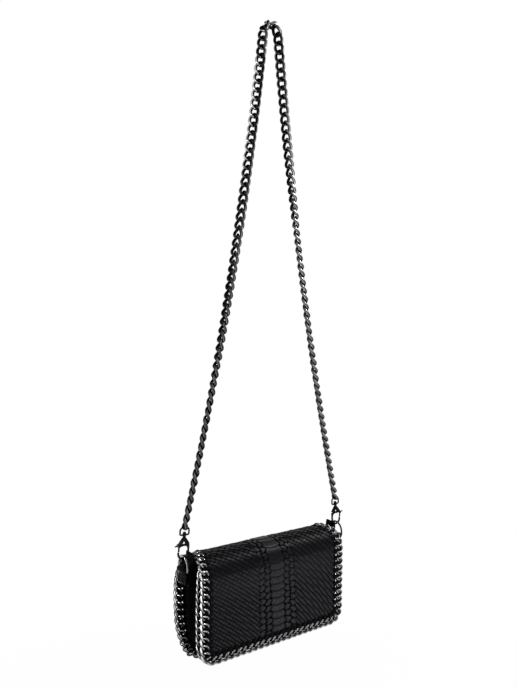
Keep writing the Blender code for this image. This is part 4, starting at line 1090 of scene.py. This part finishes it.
def panel_limits(z):
    """Where the back and front panels' inner faces are at a height, less the leather's gap."""
    limits = []
    for section, way, nearest in ((BACK, -1, min), (FRONT, 1, max)):
        found = []
        for height in (z - 0.0015, z, z + 0.0015):
            slope = (section.y_at(height - 0.0005) - section.y_at(height + 0.0005)) / 0.001
            reach = (LEATHER / 2 + LEATHER_GAP) * hypot(1, slope)
            found.append(section.y_at(height) + way * reach)
        limits.append(nearest(found))
    return limits


LIMIT_Z = np.linspace(BASE_Z - 0.002, MOUTH_Z + 0.002, 160)
LIMIT_Y = np.array([panel_limits(z) for z in LIMIT_Z]).T.copy()


def limits_at(z):
    """The same, read from a table."""
    return [float(np.interp(z, LIMIT_Z, values)) for values in LIMIT_Y]


def gusset(side, word):
    """The folded side: a soft valley down its middle and a tongue that stands at the tab."""
    tab_bottom = DRING_BAR_Z - TAB_HEIGHT
    fold_z = RIDGE_Z - GUSSET_FOLD_FROM_SHARE * BAG_HEIGHT
    shares, rows = np.linspace(0, 1, 81), 110
    count = len(shares)
    outer = np.zeros((rows, count, 3))
    thick = np.full((rows, count), GUSSET_LEATHER)
    for i, s in enumerate(np.linspace(0, 1, rows)):
        for k, share in enumerate(shares):
            off = abs(share - 0.5)
            reach = TONGUE_FRONT_SHARE if share > 0.5 else TONGUE_REAR_SHARE
            top = MOUTH_Z + (TONGUE_TOP_Z - MOUTH_Z) * smooth((reach + 0.06 - off) / 0.10)
            z = top + (BASE_Z - top) * s
            rear, front = limits_at(min(z, MOUTH_Z))
            drawn = 1 - smooth((tab_bottom - z) / (tab_bottom - fold_z))
            crest = (rear + front) / 2 * (1 - drawn)
            wave = sin(2 * pi * off) * GUSSET_BULGE
            valley = max(0.0, 1 - off / GUSSET_FOLD_HALF_SHARE)
            fold = -GUSSET_FOLD * smooth(valley) ** 0.8
            near = smooth(GUSSET_PEAK_SPREAD * (1 - 2 * off - GUSSET_PEAK_FROM_SHARE))
            x = GUSSET_HALF_SPAN + (wave + fold) * (1 - drawn)
            x += (GUSSET_PEAK - GUSSET_HALF_SPAN) * near * drawn
            rise = smooth((z - DRING_BAR_Z - 0.0035) / 0.0065)
            rise *= smooth((x - TONGUE_FACE_X) / 0.0015)
            x += (TONGUE_FACE_X - x) * rise
            thick[i, k] += (TONGUE_LEATHER - GUSSET_LEATHER) * rise
            ripple = GUSSET_RIPPLE * sin(z * 310 + 5 * share) * sin(2 * pi * off) * (1 - drawn)
            end = rear if share < 0.5 else front
            outer[i, k] = (side * (x - 0.0001 + ripple), crest + (end - crest) * 2 * off, z)
    inner = outer.copy()
    inner[..., 0] -= side * thick
    points = np.concatenate([outer, inner[:, ::-1]], axis=1)
    ring = 2 * count
    quads = [grid_quads(rows, ring, False, True)]
    k = np.arange(count - 1)
    for first in (0, (rows - 1) * ring):
        strip = first + np.stack([k, k + 1, ring - 2 - k, ring - 1 - k], axis=1)
        quads.append(strip if first else strip[:, ::-1])
    quads = np.vstack(quads)[:, :: -side]
    piece = mesh_piece(f"{word}_folded_side", (points.reshape(-1, 3), quads), "bag",
                       "gusset_leather", (f"{word}_gusset",), GUSSET_SKIN)
    soften = piece.modifiers.new("edge", "BEVEL")
    soften.width = 0.0004
    soften.segments = 2
    soften.angle_limit = radians(50)


def ribbon(path, width_axis, half_width, thickness, taper):
    """A strap of leather swept along a path, with rounded edges and ends."""
    along = unit(np.gradient(path, axis=0))
    width_axis = np.asarray(width_axis, float)
    out = np.cross(along, width_axis)
    half = thickness / 2
    corner = half * 0.85
    section = [(su * (half_width - corner) + corner * cu, sv * (half - corner) + corner * cv)
               for su, sv, cu, cv in oblong_corners(4)]
    runs = run_lengths(path)
    near = np.clip(1 - np.minimum(runs, runs[-1] - runs) / TAB_END_ROUND, 0, 1)
    lost = TAB_END_ROUND * (1 - np.sqrt(1 - near**2))
    points = []
    for p, o, less, narrow in zip(path, out, lost, np.interp(path[:, 2], *taper)):
        for u, v in section:
            across = narrow * u - np.sign(u) * less * (abs(u) / half_width)
            points.append(p + width_axis * across + o * v)
    quads = grid_quads(len(path), len(section), False, True)
    return capped((np.array(points), quads), len(section))


def stitches(lines, normal):
    """Short slanted thread stitches along lines."""
    parts = []
    for line in lines:
        for a, b in zip(line, line[1:]):
            ends = [a + (b - a) * 0.12, a + (b - a) * 0.88]
            start, end = ends
            path = smooth_path([start - normal * 0.0004, start + normal * 0.00006,
                                (start + end) / 2 + normal * 0.00016, end + normal * 0.00006,
                                end - normal * 0.0004], 3)
            parts.append(bar(path, THREAD_RADIUS, 8, None))
    return merged(parts)


def tab(side, word):
    """A strip folded over the D-ring's bar and sewn down through both its leaves."""
    mid = DRING_WIRE / 2 + SEAT_GAP + TAB_LAYER / 2
    foot = DRING_BAR_Z - TAB_HEIGHT
    leaf = -mid + TAB_LAYER
    points = [(-mid, foot), (-mid, DRING_BAR_Z - 0.004)]
    points += [(mid * cos(a), DRING_BAR_Z + mid * sin(a)) for a in np.linspace(pi, 0, 15)]
    points += [(mid * 0.92, DRING_BAR_Z - 0.0012), (leaf * 0.35 + mid * 0.42, DRING_BAR_Z - 0.0030)]
    points += [(leaf + 0.00005, z) for z in (DRING_BAR_Z - 0.0052, DRING_BAR_Z - 0.008, foot)]
    path = even(smooth_path([(side * (CLAW_X + x), 0, z) for x, z in points], 5), 110)
    taper = (foot, DRING_BAR_Z - 0.003), (TAB_TAPER, 1.0)
    strip = ribbon(path, (0, -side, 0), TAB_WIDTH / 2, TAB_LAYER - 0.00006, taper)
    mesh_piece(f"{word}_tab_strip", strip, "bag", "gusset_leather", (f"{word}_ring_tab",),
               GUSSET_SKIN)
    face = side * (CLAW_X + leaf + TAB_LAYER / 2)
    half = TAB_WIDTH / 2 * TAB_TAPER - 0.0012
    low, high = foot + 0.0016, DRING_BAR_Z - 0.0066
    box = np.array([(face, -half, low), (face, half, low), (face, half, high), (face, -half, high),
                    (face, -half, low)])
    lines = []
    for a, b in zip(box, box[1:]):
        count = max(2, round(np.linalg.norm(b - a) / STITCH_LENGTH))
        lines.append([a + (b - a) * i / count for i in range(count + 1)])
    mesh_piece(f"{word}_tab_stitching", stitches(lines, np.array((side, 0.0, 0.0))), "bag",
               "gusset_leather", (), THREAD)


def base_strip():
    """The strip between the panels' lower edges, dished a little."""
    rows, columns = 28, 120
    xs = np.linspace(-POCKET_HALF_SPAN, POCKET_HALF_SPAN, columns)
    faces = []
    dished = 0.0001 + np.abs(BASE_DISH * np.sin(xs * 90))
    for z, lift in ((BASE_Z + LEATHER, 0 * xs), (BASE_Z, dished)):
        rear, front = limits_at(z)
        ys = rear + (front - rear) * np.linspace(0, 1, rows)
        faces.append([np.stack([xs, np.full(columns, y), z + lift], axis=1) for y in ys])
    points = np.array(faces[0] + faces[1][::-1]).reshape(-1, 3)
    quads = [grid_quads(2 * rows, columns, True, False)]
    i = np.arange(rows - 1)
    for k in (0, columns - 1):
        corners = (i, i + 1, 2 * rows - 2 - i, 2 * rows - 1 - i)
        strip = np.stack([row * columns + k for row in corners], axis=1)
        quads.append(strip if k else strip[:, ::-1])
    shape = points, np.vstack(quads)
    mesh_piece("base_leather", shape, "bag", "gusset_leather", ("base_strip",), GUSSET_SKIN)


def lining():
    """The sewn pocket of cloth, with a bound mouth and a soft sag between its seams."""
    floor = BASE_Z + LEATHER + SEAT_GAP
    around, rows = 150, 46

    def ring(z, inset, sag):
        rear, front = limits_at(min(max(z, BASE_Z), MOUTH_Z))
        rear, front, w = rear - inset, front + inset, POCKET_HALF_SPAN - inset
        corners = [(-w, front, z), (w, front, z), (w, rear, z), (-w, rear, z)]
        line = rounded_corners(corners, LINING_CORNER + 0.001, 6)
        line = even(line, around, closed=True)
        pull = LINING_SAG * (1 + np.sin(line[:, 0] * 160 + z * 90)) * sag
        toward = (rear + front) / 2 - line[:, 1]
        line[:, 1] += toward / (np.abs(toward) + 1e-9) * pull
        return line

    outer = [ring(z, 0.0001, 0.0) for z in np.linspace(MOUTH_Z, floor, rows)]
    inner = [ring(z, LINING, 1.0) for z in np.linspace(MOUTH_Z, floor + LINING, rows)]
    points = np.array(outer[::-1] + inner).reshape(-1, 3)
    shape = capped((points, grid_quads(2 * rows, around, False, True)), around)
    mesh_piece("pocket_cloth", shape, "bag", "lining_cloth", ("lining",), CLOTH)
    rim = ring(MOUTH_Z - 0.0006, LINING * 0.5, 0.0)
    mesh_piece("mouth_binding", tube(rim, BINDING_RADIUS, 10), "bag", "lining_cloth", (), CLOTH)


# The set


def make_camera():
    """The photograph's viewpoint, fitted to measured places on the strap and the bag."""
    azimuth, tilt, roll = radians(-35), radians(2.85), radians(0.5)
    focal, slide, centre_z, distance, lift = 632.3, -0.0112, -0.375, 0.7377, 12.71
    picture_height, sensor = 688, 24
    back = Vector((sin(azimuth) * cos(tilt), -cos(azimuth) * cos(tilt), sin(tilt)))
    right = Vector((cos(azimuth), sin(azimuth), 0))
    up = back.cross(right)
    right, up = cos(roll) * right + sin(roll) * up, -sin(roll) * right + cos(roll) * up
    place = Vector((0, 0, centre_z)) + right * slide + back * distance
    data = bpy.data.cameras.new("camera")
    data.sensor_fit = "VERTICAL"
    data.sensor_height = sensor
    data.lens = sensor * focal / picture_height
    data.shift_y = lift / picture_height
    data.clip_start = 0.01
    camera = placed("camera", data)
    turn = Matrix((right, up, back)).transposed().to_4x4()
    camera.matrix_world = Matrix.Translation(place) @ turn
    bpy.context.scene.camera = camera


def make_surround():
    """White where the camera or a reflection looks, and a weaker glow for the light."""
    world = bpy.data.worlds.new("surround")
    bpy.context.scene.world = world
    world.use_nodes = True
    sky = Nodes(world.node_tree)
    sky.tree.nodes.clear()
    glow, seen = (
        sky.node("Background", {"Color": WHITE, "Strength": strength}).outputs[0]
        for strength in (GLOW, 1.0)
    )
    rays = sky.node("LightPath").outputs
    direct = sky.maths("MAXIMUM", rays["Is Camera Ray"], rays["Is Glossy Ray"])
    direct = sky.maths("MAXIMUM", direct, rays["Is Transmission Ray"])
    sky.node("OutputWorld", {"Surface": sky.mixed_shader(direct, glow, seen)})


def make_floor():
    """A pale floor well below the bag, which fades to white away from it."""
    rings, steps = 24, 64
    angle = 2 * pi * np.arange(steps) / steps
    rows = [np.stack([radius * np.cos(angle), radius * np.sin(angle), FLOOR_Z + 0 * angle], axis=1)
            for radius in np.linspace(0.02, FLOOR_REACH, rings)]
    floor = raw_object("floor", (np.vstack(rows), grid_quads(rings, steps, False, True)))
    paint = Paint(
        "pale_floor", Base_Color=(0.88, 0.88, 0.88), Roughness=0.9, Specular_IOR_Level=0.0
    )
    level = paint.node("VectorMath", {0: paint.place, 1: (1, 1, 0)}, operation="MULTIPLY")
    away = paint.node("VectorMath", {0: level.outputs["Vector"]}, operation="LENGTH")
    fade = paint.spread(away.outputs["Value"], *FLOOR_FADE)
    rays = paint.node("LightPath").outputs
    direct = paint.maths("MAXIMUM", rays["Is Camera Ray"], rays["Is Glossy Ray"])
    light = paint.node("Emission", {"Color": WHITE}).outputs[0]
    share = paint.maths("MULTIPLY", fade, direct)
    surface = paint.mixed_shader(share, paint.shader.outputs[0], light)
    paint.put(surface, paint.tree.nodes["Material Output"].inputs["Surface"])
    floor.data.materials.append(paint.material)


def make_lamps():
    for name, place, size, power in LAMPS:
        data = bpy.data.lights.new(name, "AREA")
        data.shape = "RECTANGLE"
        data.size, data.size_y = size
        data.energy = power
        lamp = placed(name, data)
        lamp.location = place
        toward = Vector(BAG_PLACE) - Vector(place)
        lamp.rotation_euler = toward.to_track_quat("-Z", "Y").to_euler()


def dress_cad_nodes():
    """The rigid nodes that keep their CAD shape get their finishes."""
    for name, paint in (
        ("snap_socket", SNAP),
        ("snap_stud", SNAP),
        ("left_gate_pin", STRAP_METAL),
        ("right_gate_pin", STRAP_METAL),
        ("left_gate_spring", SPRING),
        ("right_gate_spring", SPRING),
    ):
        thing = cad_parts[name]
        for place in thing.material_slots:
            place.material = paint


make_camera()
make_strap()
for side, word in SIDES:
    swivel(side, word)
    claw(side, word)
    d_ring(side, word)
    tab(side, word)
    gusset(side, word)
leather_sheet("back_skin", BACK, LEATHER, "bag", "back_panel", 0.0008)
leather_sheet("front_skin", FRONT, LEATHER, "bag", "front_panel", 0.0009, phase=14.0)
leather_sheet("flap_skin", FLAP, FLAP_LEATHER, "flap", "flap_panel", 0.0005)
laced_edge("back", BACK, BACK_CHAIN_INSET_SEEN, "bag", 3)
laced_edge("front", FRONT, 0.0, "bag", 5)
crease_fold()
laced_edge("flap", FLAP, FLAP_CHAIN_INSET, "flap", 9, FLAP_WEAR_AND_HIGHLIGHT)
base_strip()
lining()
dress_cad_nodes()
make_surround()
make_floor()
make_lamps()
bpy.context.scene.view_settings.view_transform = "Standard"
